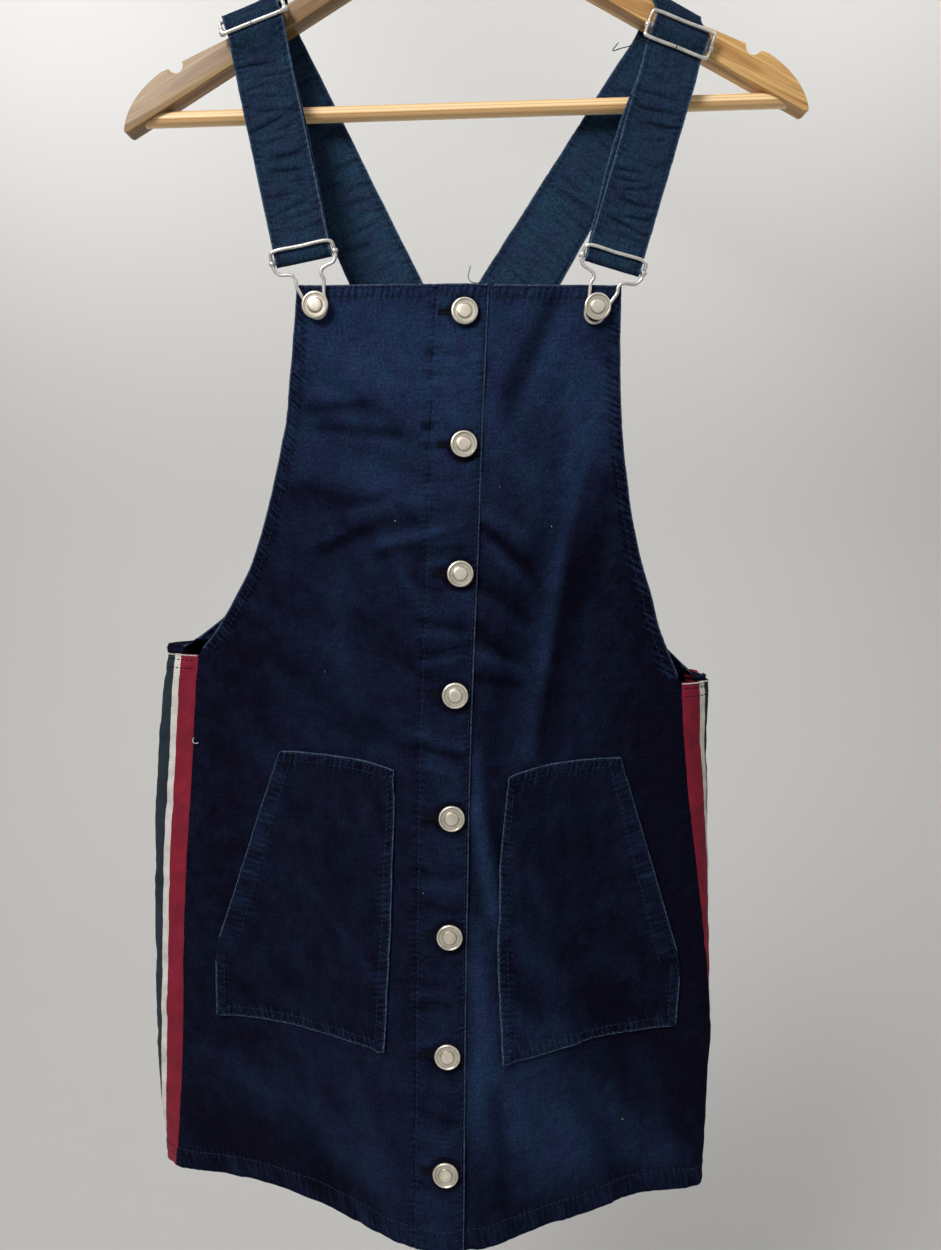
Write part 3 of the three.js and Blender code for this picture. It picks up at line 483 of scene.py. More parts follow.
def cloth_row(s, z):
    """Points of the cloth's outer face at arc lengths s from the keel, at one height."""
    ring = ring_at(z)
    round_s = np.mod(s, ring["total"])
    x = np.interp(round_s, ring["lengths"], ring["line"][:, 0])
    y = np.interp(round_s, ring["lengths"], ring["line"][:, 1])
    signed = np.where(round_s > ring["total"] / 2, round_s - ring["total"], round_s)
    on_front = (signed > ring["left"]) & (signed < ring["right"])
    on_back = (signed < ring["left"] - TAPE_WIDTH) | (signed > ring["right"] + TAPE_WIDTH)
    y = y - np.where(on_front, swell(FRONT_FOLDS, x, z), 0)
    y = y + np.where(on_back, swell(BACK_FOLDS, x, z), 0)
    return np.stack([x, y, np.full_like(x, z)], -1)


def arc_at_x(x, z, on_back=False):
    ring = ring_at(z)
    if on_back:
        s = np.linspace(ring["right"] + 12, ring["total"] + ring["left"] - 12, 200)
        return float(np.interp(-x, -cloth_row(s, z)[:, 0], s))
    s = np.linspace(ring["left"], ring["right"], 260)
    return float(np.interp(x, cloth_row(s, z)[:, 0], s))


def front_seam(side, z):
    ring = ring_at(z)
    return ring["left"] if side == "right" else ring["right"] + section(z, "wrap")


def armhole_edge(table, side, z, seam, on_back=False):
    """Arc length of an armhole's edge, running into the side seam at the underarm."""
    underarm = UNDERARM_Z[side]
    kept = table[table[:, 0] > underarm + 4]
    foot = cloth_row(np.array([seam(side, underarm)]), underarm)[0, 0]
    rows = np.vstack([kept, (underarm, foot, foot)])
    return arc_at_x(smooth_column(rows, ARMHOLE_COLUMNS, side, z), z, on_back)


def front_edge(side, z):
    if z <= UNDERARM_Z[side]:
        return front_seam(side, z)
    return armhole_edge(FRONT_ARMHOLE, side, z, front_seam)


def bell(distance, width):
    return np.exp(-((distance / width) ** 2))


def step_up(value, start, end):
    t = np.clip((value - start) / (end - start), 0, 1)
    return t * t * (3 - 2 * t)


def mottle(u, v, cell_u, cell_v, seed):
    """Smooth unevenness between -1 and 1, from a small grid of seeded values."""
    values = np.random.default_rng(seed).uniform(-1, 1, (64, 64))
    a, b = np.broadcast_arrays(np.asarray(u, float) / cell_u, np.asarray(v, float) / cell_v)
    i, j = np.floor(a).astype(int), np.floor(b).astype(int)
    p, q = a - i, b - j
    p, q = p**3 * (p * (6 * p - 15) + 10), q**3 * (q * (6 * q - 15) + 10)
    pick = lambda m, n: values[m % 64, n % 64]
    low = pick(i, j) * (1 - p) + pick(i + 1, j) * p
    high = pick(i, j + 1) * (1 - p) + pick(i + 1, j + 1) * p
    return low * (1 - q) + high * q


def ladder(along, pitch, seed):
    """Uneven ridges across a seam, about one to each pull of the thread."""
    drift = 0.9 * mottle(along, 0, 5.5 * pitch, 1, seed) + 0.35 * mottle(along, 0, 2.1 * pitch, 1, seed + 7)
    size = np.clip(0.55 + 0.75 * mottle(along, 0, 3.3 * pitch, 1, seed + 9), 0.05, 1.2)
    return np.sin(2 * np.pi * (along / pitch + drift)) * size


def turned_edge(inward, along, fold, rows, seed, pull=0.5, pitch=4.6):
    """Relief of a turned and stitched edge: a raised fold, sunk stitch lines and small puckers."""
    relief = 0.5 * (1 - step_up(inward, fold - 0.6, fold + 0.9))
    relief -= 0.55 * (1 - step_up(inward, 0, 1.0))
    for row in rows:
        relief -= 0.38 * bell(inward - row, 0.8)
    slanted = along + 0.2 * inward
    relief += 1.2 * pull * ladder(slanted, pitch, seed) * bell(inward - 0.5 * fold, 0.62 * fold)
    ripple = mottle(slanted, inward * 0.3, 6.5, 4.0, seed + 1)
    ripple = ripple + 0.6 * mottle(slanted, inward * 0.2, 13, 6.0, seed + 2)
    relief += 1.1 * pull * ripple * np.exp(-inward / (1.9 * fold))
    return relief


def shell(name, points, outward, relief, flat_u, flat_v, marks, thickness=CLOTH, offset=-1, cloths=()):
    """A thin shell of cloth from a grid of points, with its own flat map in metres.

    The marks are values kept at each point for the cloth's material. The cloths are its face and reverse.
    """
    rows, columns = relief.shape
    bpy.ops.object.select_all(action="DESELECT")
    bpy.ops.mesh.primitive_grid_add(x_subdivisions=columns - 1, y_subdivisions=rows - 1, size=1)
    piece = bpy.context.object
    piece.name = piece.data.name = name
    places = (points + outward * relief[..., None]) * MM
    piece.data.vertices.foreach_set("co", places.reshape(-1).astype(np.float32))
    corner = np.empty(len(piece.data.loops), np.int32)
    piece.data.loops.foreach_get("vertex_index", corner)
    flat = np.stack([flat_u.reshape(-1)[corner], flat_v.reshape(-1)[corner]], -1) * MM
    piece.data.uv_layers[0].data.foreach_set("uv", flat.reshape(-1).astype(np.float32))
    for mark, values in marks.items():
        attribute = piece.data.attributes.new(mark, "FLOAT", "POINT")
        attribute.data.foreach_set("value", values.reshape(-1).astype(np.float32))
    piece.data.update()
    for cloth in cloths:
        piece.data.materials.append(cloth)
    wall = piece.modifiers.new("wall", "SOLIDIFY")
    wall.thickness = thickness * MM
    wall.offset = offset
    wall.material_offset = max(len(cloths) - 1, 0)
    bpy.ops.object.modifier_apply(modifier="wall")
    bpy.ops.object.shade_smooth_by_angle(angle=math.radians(50))
    return piece


def facing(points):
    """Unit normals of a grid of points whose rows run upwards and columns anticlockwise from above."""
    across = np.gradient(points, axis=1)
    up = np.gradient(points, axis=0)
    normal = np.cross(across, up)
    return normal / np.linalg.norm(normal, axis=-1, keepdims=True)


def spaced(length, near_start, near_end, fine, coarse):
    """Places from 0 to length, close together near both ends."""
    places = [0.0]
    while places[-1] < length:
        near = places[-1] < near_start or length - places[-1] < near_end
        places.append(places[-1] + (fine if near else coarse))
    return np.array(places) * (length / places[-1])


def heights_of(top, fine=1.1, coarse=1.65, top_band=13, hem_band=24):
    return HEM_Z + spaced(top - HEM_Z, hem_band, top_band, fine, coarse)


def panel_from(heights, edges, shares):
    """Arc lengths, points and normals of a panel between two edges."""
    arcs = np.array([a + (b - a) * shares for a, b in edges])
    points = np.array([cloth_row(s, z) for s, z in zip(arcs, heights)])
    return arcs, points, facing(points)


def placed_panel(heights, arcs, points, normals, relief):
    return {"z": heights, "s": arcs, "p": points + normals * relief[..., None], "n": normals}


def on_cloth(panel, s, z):
    """Points and normals of a finished panel's face at given arc lengths and heights."""
    z_rows, arcs = panel["z"], panel["s"]
    points, normals = [], []
    for a, h in zip(s, z):
        r = int(np.clip(np.searchsorted(z_rows, h) - 1, 0, len(z_rows) - 2))
        t = (h - z_rows[r]) / (z_rows[r + 1] - z_rows[r])
        pair_p, pair_n = [], []
        for row in (r, r + 1):
            line = arcs[row]
            c = int(np.clip(np.searchsorted(line, a) - 1, 0, len(line) - 2))
            u = (a - line[c]) / (line[c + 1] - line[c])
            pair_p.append(panel["p"][row, c] * (1 - u) + panel["p"][row, c + 1] * u)
            pair_n.append(panel["n"][row, c] * (1 - u) + panel["n"][row, c + 1] * u)
        points.append(pair_p[0] * (1 - t) + pair_p[1] * t)
        normals.append(pair_n[0] * (1 - t) + pair_n[1] * t)
    return np.array(points), np.array(normals)


# The height of each fly button, and its distance in from the fly's edge.
FLY_BUTTONS = [
    (-325.5, 15),
    (-409, 12),
    (-492, 11.5),
    (-571, 11.5),
    (-651.5, 11.5),
    (-730, 11.5),
    (-810, 12),
    (-889.5, 12.5),
]


def everyday_unevenness(arcs, z, seed):
    skewed = arcs + 0.35 * z
    return (
        0.9 * mottle(arcs, z, 46, 70, seed)
        + 0.6 * mottle(skewed, z, 19, 26, seed + 1)
        + 0.30 * mottle(skewed, z, 9, 8, seed + 2)
        + 0.16 * mottle(arcs - 0.5 * z, z, 4.6, 5.2, seed + 3)
    )


def hem_relief(up, along, seed, depth=16.0):
    ropes = mottle(along + 0.55 * up, up * 0.15, 6.5, 5.0, seed + 4) * bell(up - 0.5 * depth, 0.62 * depth)
    return turned_edge(up, along, depth, [depth - 0.8], seed, pull=0.26, pitch=6.5) + 0.9 * ropes


def nearest_seam(seams):
    """Distance in from the nearest sewn edge, place along it, its inner row and how hard it draws."""
    inward = np.stack([np.broadcast_to(seam[0], seams[0][0].shape) for seam in seams])
    along = np.stack([np.broadcast_to(seam[1], seams[0][0].shape) for seam in seams])
    first = np.argmin(inward, axis=0)
    pick = lambda values: np.take_along_axis(values, first[None], 0)[0]
    return {
        "seam_in": pick(inward),
        "seam_along": pick(along),
        "seam_row": np.array([seam[2] for seam in seams])[first],
        "seam_pull": np.array([seam[3] for seam in seams])[first],
        "seam_first": 1.8 + 0 * pick(inward),
    }


# FAR sets a sewn edge aside where it has no part, and NO_ROW is the place of a row that isn't there.
FAR = 60.0
NO_ROW = -20.0
HEM_DEPTH = 16.0
BIB_HEM = 8.5
BIB_ROWS = (1.8, 7.6)
ARMHOLE_HEM = 7.0
ARMHOLE_ROWS = (1.6, 6.2)
STEEPEST = 2.2
SEAM_EASE = 0.15


def clear_of_edge(arcs, edge, heights, side):
    """Distance in from a slanted edge, square to it above the underarm and level below."""
    slant = np.minimum(np.abs(np.gradient(edge, heights)), STEEPEST) * (heights > UNDERARM_Z[side])
    return np.abs(arcs - edge[:, None]) / np.sqrt(1 + slant[:, None] ** 2)


def fly_band(z, arcs, from_fly):
    """The upper fly lap: a raised facing that drags towards its stitches and its buttons."""
    band = step_up(from_fly, FLY_WIDTH + 0.6, FLY_WIDTH - 0.8)
    relief = 0.45 * band - 0.5 * bell(from_fly - FLY_WIDTH, 0.9)
    relief -= 0.38 * bell(from_fly - 2.2, 0.8) + 0.55 * (1 - step_up(from_fly, 0, 0.9))
    drag = 0.5 * mottle(arcs * 0.05, z + 0.1 * arcs, 1, 7.5, 61) + 0.2 * mottle(arcs * 0.1, z, 1, 4.2, 62)
    relief += drag * band * np.clip(0.6 + 0.9 * mottle(0, z, 1, 38, 63), 0.1, 1.3)
    relief += 0.3 * ladder(z + 0.3 * arcs, 4.4, 64) * bell(from_fly - FLY_WIDTH, 4.5)
    relief += 0.28 * ladder(z - 0.3 * arcs, 4.0, 65) * bell(from_fly - 3, 3.5)
    for height, from_edge in FLY_BUTTONS:
        near = bell(z - height, 9) * bell(from_fly - from_edge - 9, 13)
        relief += 1.1 * near * mottle(arcs * 0.04, z - 0.25 * arcs, 1, 5.4, int(-height))
        relief -= 0.9 * bell(z - height, 7) * bell(from_fly - from_edge, 9)
    return relief


def shaded_by_buttons(z, from_fly):
    """How much deeper the cloth is in the shade round each button and along its buttonhole."""
    shade = 0 * from_fly
    for height, from_edge in FLY_BUTTONS:
        away = np.hypot(z - height + 0.8, from_fly - from_edge)
        shade += 0.8 * bell(away - 9.2, 2.1)
        hole = step_up(from_fly - from_edge, 5, 9) * (1 - step_up(from_fly - from_edge, 15.5, 19))
        shade += 0.7 * hole * bell(z - height, 2.6)
    return shade


def front_panel(side):
    heights = heights_of(BIB_TOP_Z)
    lap = side == "right"
    fly = np.array([section(z, "fly") for z in heights])
    outer = np.array([front_edge(side, z) for z in heights])
    ease = SEAM_EASE * (heights <= UNDERARM_Z[side])
    if lap:
        outer = outer + ease
        edges = np.stack([outer, fly], -1)
        widest = np.max(fly - outer)
        shares = spaced(widest, 11, 40, 1.1, 3.2) / widest
    else:
        outer = outer - ease
        edges = np.stack([fly - FLY_WIDTH + 2, outer], -1)
        widest = np.max(outer - (fly - FLY_WIDTH + 2))
        shares = spaced(widest, 46, 11, 1.5, 3.1) / widest
    arcs, points, normals = panel_from(heights, edges, shares)
    z = heights[:, None] + np.zeros_like(arcs)
    x = points[..., 0]
    fly = fly[:, None]
    past_fly = arcs - fly
    from_outer = clear_of_edge(arcs, outer, heights, side)
    from_top = BIB_TOP_Z - z
    up = z - HEM_Z
    above = step_up(z, UNDERARM_Z[side] - 4, UNDERARM_Z[side] + 6)
    along_arm = z + 0.7 * x

    relief = above * turned_edge(from_outer, along_arm, ARMHOLE_HEM, ARMHOLE_ROWS, 41, pull=0.5)
    relief += turned_edge(from_top, arcs, BIB_HEM, BIB_ROWS, 45, pull=0.38)
    relief += hem_relief(up, arcs, 51, HEM_DEPTH)
    creases = swell(RIGHT_CREASES if lap else LEFT_CREASES, x, z)
    hidden = 0 * arcs if lap else FAR * (1 - step_up(past_fly, 0, 2))
    seams = [
        (from_outer + FAR * (1 - above), along_arm, ARMHOLE_ROWS[1], 1.15),
        (from_outer + 4 + FAR * above, z, NO_ROW, 0.45),
        (from_top + hidden, arcs, BIB_ROWS[1], 0.8),
        (up + hidden, arcs, HEM_DEPTH - 0.8, 0.55),
    ]
    # The tone mark is mostly painted light and shade: lighter towards the bib's top as painted light from
    # above, the painted light and shade zones, painted shade round each button and buttonhole, and painted
    # light on the middle of the front, with the flanks left deeper. It also varies a little at random, and is
    # darker along the armhole and bib-top hems.
    tone = 0.62 * step_up(z, -505, -345) + swell(RIGHT_PAINTED_LIGHT_ZONES if lap else LEFT_PAINTED_LIGHT_ZONES, x, z)
    tone += 0.05 * mottle(arcs + 0.4 * z, z, 15, 8, 58) + 0.03 * mottle(arcs, z, 5, 6, 59)
    if lap:
        from_fly = fly - arcs
        seams += [(from_fly, z, NO_ROW, 0.5), (np.abs(from_fly - FLY_WIDTH) + 1.8, z + 500, NO_ROW, 0.5)]
        relief += fly_band(z, arcs, from_fly)
        creases += 1.35 * swell(FLY_CREASES, x, z)
        tone += 0.06 - shaded_by_buttons(z, from_fly)
    tone += 0.16 * (1 - step_up(np.abs(x + 10), 90, 150))
    tone -= 0.2 * above * (1 - step_up(from_outer, 8, 9.6)) + 0.13 * (1 - step_up(from_top, 7.5, 9))

    uneven = everyday_unevenness(arcs, z, 11 if lap else 31)
    marks = {"tone": tone, "relief_wear_and_shading": relief + 0.15 * uneven + 0.62 * creases, **nearest_seam(seams)}
    relief = relief + uneven + creases
    if not lap:
        tucked = CLOTH + LAP_GAP
        relief -= tucked * (1 - step_up(past_fly, 1.5, 13))
        relief = np.where(past_fly < 1.5, np.minimum(relief, 0.15 - tucked), relief)
    panel = placed_panel(heights, arcs, points, normals, relief)
    piece = shell(f"twill_front_{side}", points, normals, relief, arcs, z, marks)
    return piece, panel


right_front, right_panel = front_panel("right")
left_front, left_panel = front_panel("left")


def twill(name, dark, light, pale, deep):
    """Washed cotton twill: bluer and deeper zones of painted light and shade, raised relief paler partly from
    wear and partly as painted highlight, with painted shade in its hollows, a fine slubbed grain, drawn seams
    with painted shade and highlight across their puckers and painted shade in their stitch lines, pale rubbed
    edges.
    """
    cloth = bpy.data.materials.new(name)
    r = Recipe(cloth)
    flat = r.node("UVMap", "UV", uv_map="UVMap")
    # The tone mark sets painted light and shade between the dark and light navy, with random clouds.
    clouds = r.ramp(r.noise(flat, 95, 7, (1, 0.6, 1), 0.7), 0.3, 0.7, -0.09, 0.09)
    base = r.mix(r.ramp(r.math("ADD", r.mark("tone"), clouds), 0.0, 1.0), dark, light)
    redder = r.tinted(base, (1.06, 0.84, 0.91))
    greener = r.tinted(base, (0.98, 1.07, 0.98))
    base = r.mix(r.ramp(r.noise(flat, 52, 6, (1, 0.8, 1), 0.4), 0.56, 0.44, 0.0, 0.85), greener, redder)
    # Raised relief is painted paler, partly as wear and partly as painted highlight, and hollows are painted
    # deeper as painted shade.
    relief_wear_and_shading = r.mark("relief_wear_and_shading")
    base = r.mix(r.times(r.ramp(relief_wear_and_shading, 0.1, 1.3), 0.28), base, light)
    base = r.mix(r.times(r.ramp(relief_wear_and_shading, -1.1, 0.0, 1.0, 0.0), 0.7), base, deep)

    inward = r.mark("seam_in")
    along = r.math("ADD", r.mark("seam_along"), r.times(inward, 0.22))
    beside = r.node("CombineXYZ", "Vector", {0: along, 1: r.times(inward, 0.16), 2: r.mark("seam_row")})
    wave = {"Vector": beside, "Scale": 0.074, "Distortion": 2.4, "Detail": 1.0}
    pulls = r.ramp(r.node("TexWave", "Fac", wave), 0.0, 1.0, 0.07, 0.23)
    rungs = r.math("ADD", r.times(r.noise(beside, 0.40, 1.5), 0.7), pulls)
    reach = r.ramp(r.math("SUBTRACT", inward, r.mark("seam_row")), 0.0, 6.0, 1.0, 0.0)
    reach = r.math("MAXIMUM", reach, r.ramp(inward, 3.0, 9.0, 1.0, 0.0))
    reach = r.times(reach, r.mark("seam_pull"))
    # Across each seam the puckers are painted deeper in their troughs and paler on their crests, partly as
    # wash wear and partly as painted shade and painted highlight.
    base = r.mix(r.times(r.ramp(rungs, 0.50, 0.40), reach, 0.60), base, deep)
    base = r.mix(r.times(r.ramp(rungs, 0.53, 0.66), reach, 0.50), base, light)
    # Each stitch line is painted deeper, as painted shade in its sunk line.
    for row in ("seam_first", "seam_row"):
        off_row = r.math("ABSOLUTE", r.math("SUBTRACT", inward, r.mark(row)))
        sunk_row_shade = r.ramp(r.noise(beside, 1.1, 1), 0.35, 0.6, 0.25, 0.8)
        base = r.mix(r.times(r.ramp(off_row, 0.1, 0.75, 1.0, 0.0), sunk_row_shade), base, deep)
    worn = r.ramp(r.noise(flat, 260, 3), 0.3, 0.6, 0.4, 0.95)
    base = r.mix(r.times(r.ramp(inward, 0.45, 1.1, 1.0, 0.0), worn), base, pale)

    grain = r.ramp(r.noise(flat, 640, 4), 0.32, 0.68, 0.62, 1.38)
    weft = r.ramp(r.noise(flat, 700, 3, (0.14, 1, 1)), 0.35, 0.65, 0.88, 1.12)
    warp = r.ramp(r.noise(flat, 820, 3, (1, 0.14, 1)), 0.35, 0.65, 0.90, 1.10)
    rib = {"Vector": flat, "Scale": 420, "Distortion": 1.2, "Detail Scale": 3}
    height = r.node("TexWave", "Fac", rib, wave_type="BANDS", bands_direction="DIAGONAL")
    for bumps, size in (
        (r.noise(flat, 1100, 3), 2.4),
        (r.noise(flat, 330, 4, (1, 0.55, 1), 0.5), 4.0),
        (r.noise(flat, 120, 3), 9.0),
        (r.times(r.ramp(rungs, 0.35, 0.65), reach), 3.0),
    ):
        height = r.math("ADD", height, r.times(bumps, size))
    r.finish({
        "Base Color": r.scaled(base, r.times(grain, weft, warp)), "Normal": r.bump(height, 0.8, 0.00026),
        "Roughness": 0.9, "Specular IOR Level": 0.02,
        "Sheen Weight": 0.006, "Sheen Roughness": 0.5, "Sheen Tint": (0.35, 0.55, 0.9, 1),
    })
    return cloth


navy = twill(
    "navy_twill", (0.0037, 0.0037, 0.0118, 1), (0.0130, 0.0270, 0.0720, 1),
    (0.060, 0.092, 0.160, 1), (0.0010, 0.0012, 0.0040, 1),
)
for side, piece, flat, area in (
    ("right", right_front, (0.262, 0.655), 0.1215),
    ("left", left_front, (0.257, 0.655), 0.1165),
):
    piece.data.materials.append(navy)
    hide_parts(f"front_{side}")
    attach(piece, "root")

# Back panel
# One piece of the same twill, hanging flat behind, with its own armholes and a turned top edge
# that takes the ends of both straps. The skirt's width falls in low flutes.
BACK_TOP_Z = -318.0
BACK_HEM = 9.0
BACK_ROWS = (1.8, 8.2)
BACK_ARMHOLE = np.array([
    (-318, -68, 60),
    (-350, -71, 63),
    (-400, -82, 71),
    (-455, -104, 88),
    (-500, -138, 111),
    (-525, -164, 128),
    (-543, -187, 143),
])
BACK_CREASES = np.array([
    (-40, -350, -10, -420, 9, 0.9),
    (30, -356, 14, -440, 9, -0.8),
    (70, -500, 20, -560, 11, 1.0),
    (-120, -520, -70, -590, 12, -0.9),
    (-150, -640, -110, -700, 12, 1.0),
    (40, -650, 90, -760, 13, 1.1),
    (-60, -760, -80, -900, 12, 1.2),
    (110, -800, 130, -920, 12, -1.1),
    (0, -840, 12, -940, 10, 1.0),
])


def back_seam(side, z):
    return front_seam(side, z) + (-TAPE_WIDTH if side == "right" else TAPE_WIDTH)


def back_edge(side, z):
    if z <= UNDERARM_Z[side]:
        return back_seam(side, z) + (ring_at(z)["total"] if side == "right" else 0)
    return armhole_edge(BACK_ARMHOLE, side, z, back_seam, on_back=True)


heights = heights_of(BACK_TOP_Z, fine=1.4, coarse=2.3)
ends = np.array([(back_edge("left", z) + SEAM_EASE, back_edge("right", z) - SEAM_EASE) for z in heights])
widest = np.max(ends[:, 1] - ends[:, 0])
arcs, points, normals = panel_from(heights, ends, spaced(widest, 12, 12, 1.3, 3.7) / widest)
z = heights[:, None] + np.zeros_like(arcs)
uneven = everyday_unevenness(arcs, z, 71) + swell(BACK_CREASES, points[..., 0], z)
relief = turned_edge(BACK_TOP_Z - z, arcs, BACK_HEM, BACK_ROWS, 81, pull=0.25)
relief += hem_relief(z - HEM_Z, arcs, 85, HEM_DEPTH)
seams = [(BACK_TOP_Z - z, arcs, BACK_ROWS[1], 0.8), (z - HEM_Z, arcs, HEM_DEPTH - 0.8, 0.55)]
for side, end in (("left", 0), ("right", 1)):
    inward = clear_of_edge(arcs, ends[:, end], heights, side)
    above = step_up(z, UNDERARM_Z[side] - 4, UNDERARM_Z[side] + 6)
    relief += above * turned_edge(inward, z, ARMHOLE_HEM, ARMHOLE_ROWS, 91 + end, pull=0.5)
    seams.append((inward + FAR * (1 - above), z, ARMHOLE_ROWS[1], 1.0))
    seams.append((inward + 4 + FAR * above, z, NO_ROW, 0.45))
# The back's tone is painted lighter towards its top, as painted light from above, with a little random
# unevenness.
marks = {
    "tone": 0.10 + 0.5 * step_up(z, -505, -345) + 0.14 * mottle(arcs, z, 60, 90, 95),
    "relief_wear_and_shading": relief + 0.3 * uneven, **nearest_seam(seams),
}
back_panel = placed_panel(heights, arcs, points, normals, relief + uneven)
back = shell("twill_back", points, normals, relief + uneven, arcs, z, marks)
back.data.materials.append(navy)
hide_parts("back")
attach(back, "root")

# Side tapes
# A ribbed woven tape runs down each side from the underarm to the hem, between the front and the back.
# It is striped red to the front, white, then dark green, red again on its reverse behind the green,
# with a twice stitched top. The tape's end is turned in there and sewn down on the inside of the back.
STRIPES = (0.0, 14.2, 19.4)
TAPE_ROWS = (4, 10)
TAPE_END_WIDTH = 18.0
RED = (0.205, 0.0115, 0.029, 1)
WHITE = (0.60, 0.57, 0.54, 1)
DARK_GREEN = (0.0150, 0.0265, 0.0365, 1)


def side_tape(side):
    heights = HEM_Z + spaced(UNDERARM_Z[side] + 1.0 - HEM_Z, 24, 22, 1.2, 2.4)
    edges = np.array([sorted((front_seam(side, z), back_seam(side, z))) for z in heights])
    edges += (SEAM_EASE, -SEAM_EASE)
    arcs, points, normals = panel_from(heights, edges, np.linspace(0, 1, 37))
    z = heights[:, None] + np.zeros_like(arcs)
    from_low = arcs - edges[:, :1]
    from_front = TAPE_WIDTH - SEAM_EASE - from_low if side == "right" else from_low
    from_top = heights[-1] - z
    relief = 1.0 * mottle(arcs * 0.4, z, 14, 34, 101) + 0.5 * mottle(arcs * 0.6, z, 6, 12, 102)
    relief += 0.3 * mottle(0.2 * arcs, z, 1, 5, 103)
    relief *= step_up(np.minimum(from_front, TAPE_WIDTH - from_front), -0.5, 5)
    relief -= 0.25 * (bell(from_front, 1.2) + bell(from_front - TAPE_WIDTH, 1.2))
    relief += 0.35 * (1 - step_up(from_top, 11.5, 13))
    for row in TAPE_ROWS:
        relief -= 0.3 * bell(from_top - row, 0.9)
    relief += hem_relief(z - HEM_Z, arcs, 105, HEM_DEPTH) * 0.7
    panel = placed_panel(heights, arcs, points, normals, relief)
    piece = shell(
        f"striped_tape_{side}", points, normals, relief, from_front, z,
        {"relief_wear_and_shading": relief}, thickness=1.0, cloths=(tape_face, tape_reverse),
    )
    return piece, panel


def woven_tape(name, colours):
    """Ribbed tape in three stripes, with slightly ragged borders and faintly cloudy colours."""
    tape = bpy.data.materials.new(name)
    r = Recipe(tape)
    flat = r.node("UVMap", "UV", uv_map="UVMap")
    across = r.node("SeparateXYZ", "X", {"Vector": flat})
    ragged = r.math("MULTIPLY_ADD", r.noise(flat, 900), 0.0007, across)
    starts = [(start + (0.35 if start else 0)) / TAPE_WIDTH for start in STRIPES]
    stripes = r.stops(r.math("DIVIDE", ragged, TAPE_WIDTH * MM), zip(starts, colours), "CONSTANT")
    cloudy = r.ramp(r.noise(flat, 60, 6), 0.3, 0.7, 0.72, 1.12)
    ribs = {"Vector": flat, "Scale": 330, "Distortion": 0.6}
    ribs = r.node("TexWave", "Fac", ribs, wave_type="BANDS", bands_direction="Y")
    r.finish({
        "Base Color": r.mix(1.0, stripes, cloudy, "MULTIPLY"), "Normal": r.bump(ribs, 0.6, 0.0003),
        "Roughness": 0.8, "Specular IOR Level": 0.12, "Sheen Weight": 0.04, "Sheen Roughness": 0.4,
    })
    return tape


tape_face = woven_tape("striped_tape", (RED, WHITE, DARK_GREEN))
tape_reverse = woven_tape("striped_tape_reverse", (DARK_GREEN, WHITE, RED))
tapes = {}
for side in ("right", "left"):
    piece, tapes[side] = side_tape(side)
    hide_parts(f"side_tape_{side}")
    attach(piece, "root")


def tape_end(side):
    """The tape's turned end, standing on the inside of the back's corner with its reverse to the front."""
    rows, columns = 9, 17
    inward = 1 if side == "left" else -1
    low = UNDERARM_Z[side] - 4.0
    heights = np.linspace(low, low + 10, rows)
    seam = back_seam(side, UNDERARM_Z[side] - 0.5)
    reach = TAPE_END_WIDTH / 2
    edges = [(seam - reach, seam + reach)] * rows
    arcs, points, outward = panel_from(heights, edges, np.linspace(0, 1, columns))
    depth = np.linspace(0, TAPE_END_WIDTH, columns)[::inward][None, :]
    top = UNDERARM_Z[side] + 5.4 + 0.1 * depth
    top = top - 2.0 * (1 - step_up(depth, 0, 3)) - 2.5 * step_up(depth, 13, 18)
    points = points - outward * 2.4
    points[..., 2] = low + (top - low) * np.linspace(0, 1, rows)[:, None]
    relief = 0.3 * mottle(arcs, points[..., 2], 5, 4, 104)
    stripe = (13.0 + depth if side == "left" else 27.5 - depth) + 0 * relief
    piece = shell(
        f"tape_end_{side}", points, outward, relief, stripe, points[..., 2],
        {"relief_wear_and_shading": relief}, thickness=0.8, cloths=(tape_face, tape_reverse),
    )
    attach(piece, "root")


for side in ("right", "left"):
    tape_end(side)

# Patch pockets
# Each is a slanted patch of twill with its outer side left open for the hand, faced by a wide turned edge.
# The other sides are turned under and sewn down with two rows, so they draw in small puckers.
POCKETS = {
    "right": {
        "inner_top": (-41, -622), "inner_bottom": (-48.5, -815), "outer_bottom": (-175, -815),
        "corner": (-174, -764), "outer_top": (-122, -616),
    },
    "left": {
        "inner_top": (33, -628), "inner_bottom": (29, -819), "outer_bottom": (155, -815),
        "corner": (158, -770), "outer_top": (112, -620),
    },
}
POCKET_CREASES = {
    "right": np.array([
        (-96, -716, -62, -764, 6, 0.9),
        (-72, -738, -50, -790, 5, -0.9),
        (-120, -700, -92, -700, 7, 0.6),
        (-60, -650, -50, -690, 6, 0.7),
        (-150, -780, -110, -800, 8, 0.7),
    ]),
    "left": np.array([
        (50, -690, 84, -742, 7, 0.8),
        (60, -676, 66, -720, 6, -0.7),
        (100, -760, 136, -792, 8, 0.8),
        (40, -770, 62, -806, 6, -0.7),
        (104, -650, 118, -690, 7, 0.6),
    ]),
}
POCKET_BOWS = {"right": (1.5, 2.8), "left": (-4.2, 4.2)}
POCKET_LIFT = CLOTH + LAP_GAP + 0.3
FACING_WIDTH = 16.0
POCKET_TALL = 200.0
POCKET_WIDE = 133.0
POCKET_HEM = 7.5
POCKET_ROWS = (1.8, 6.8)


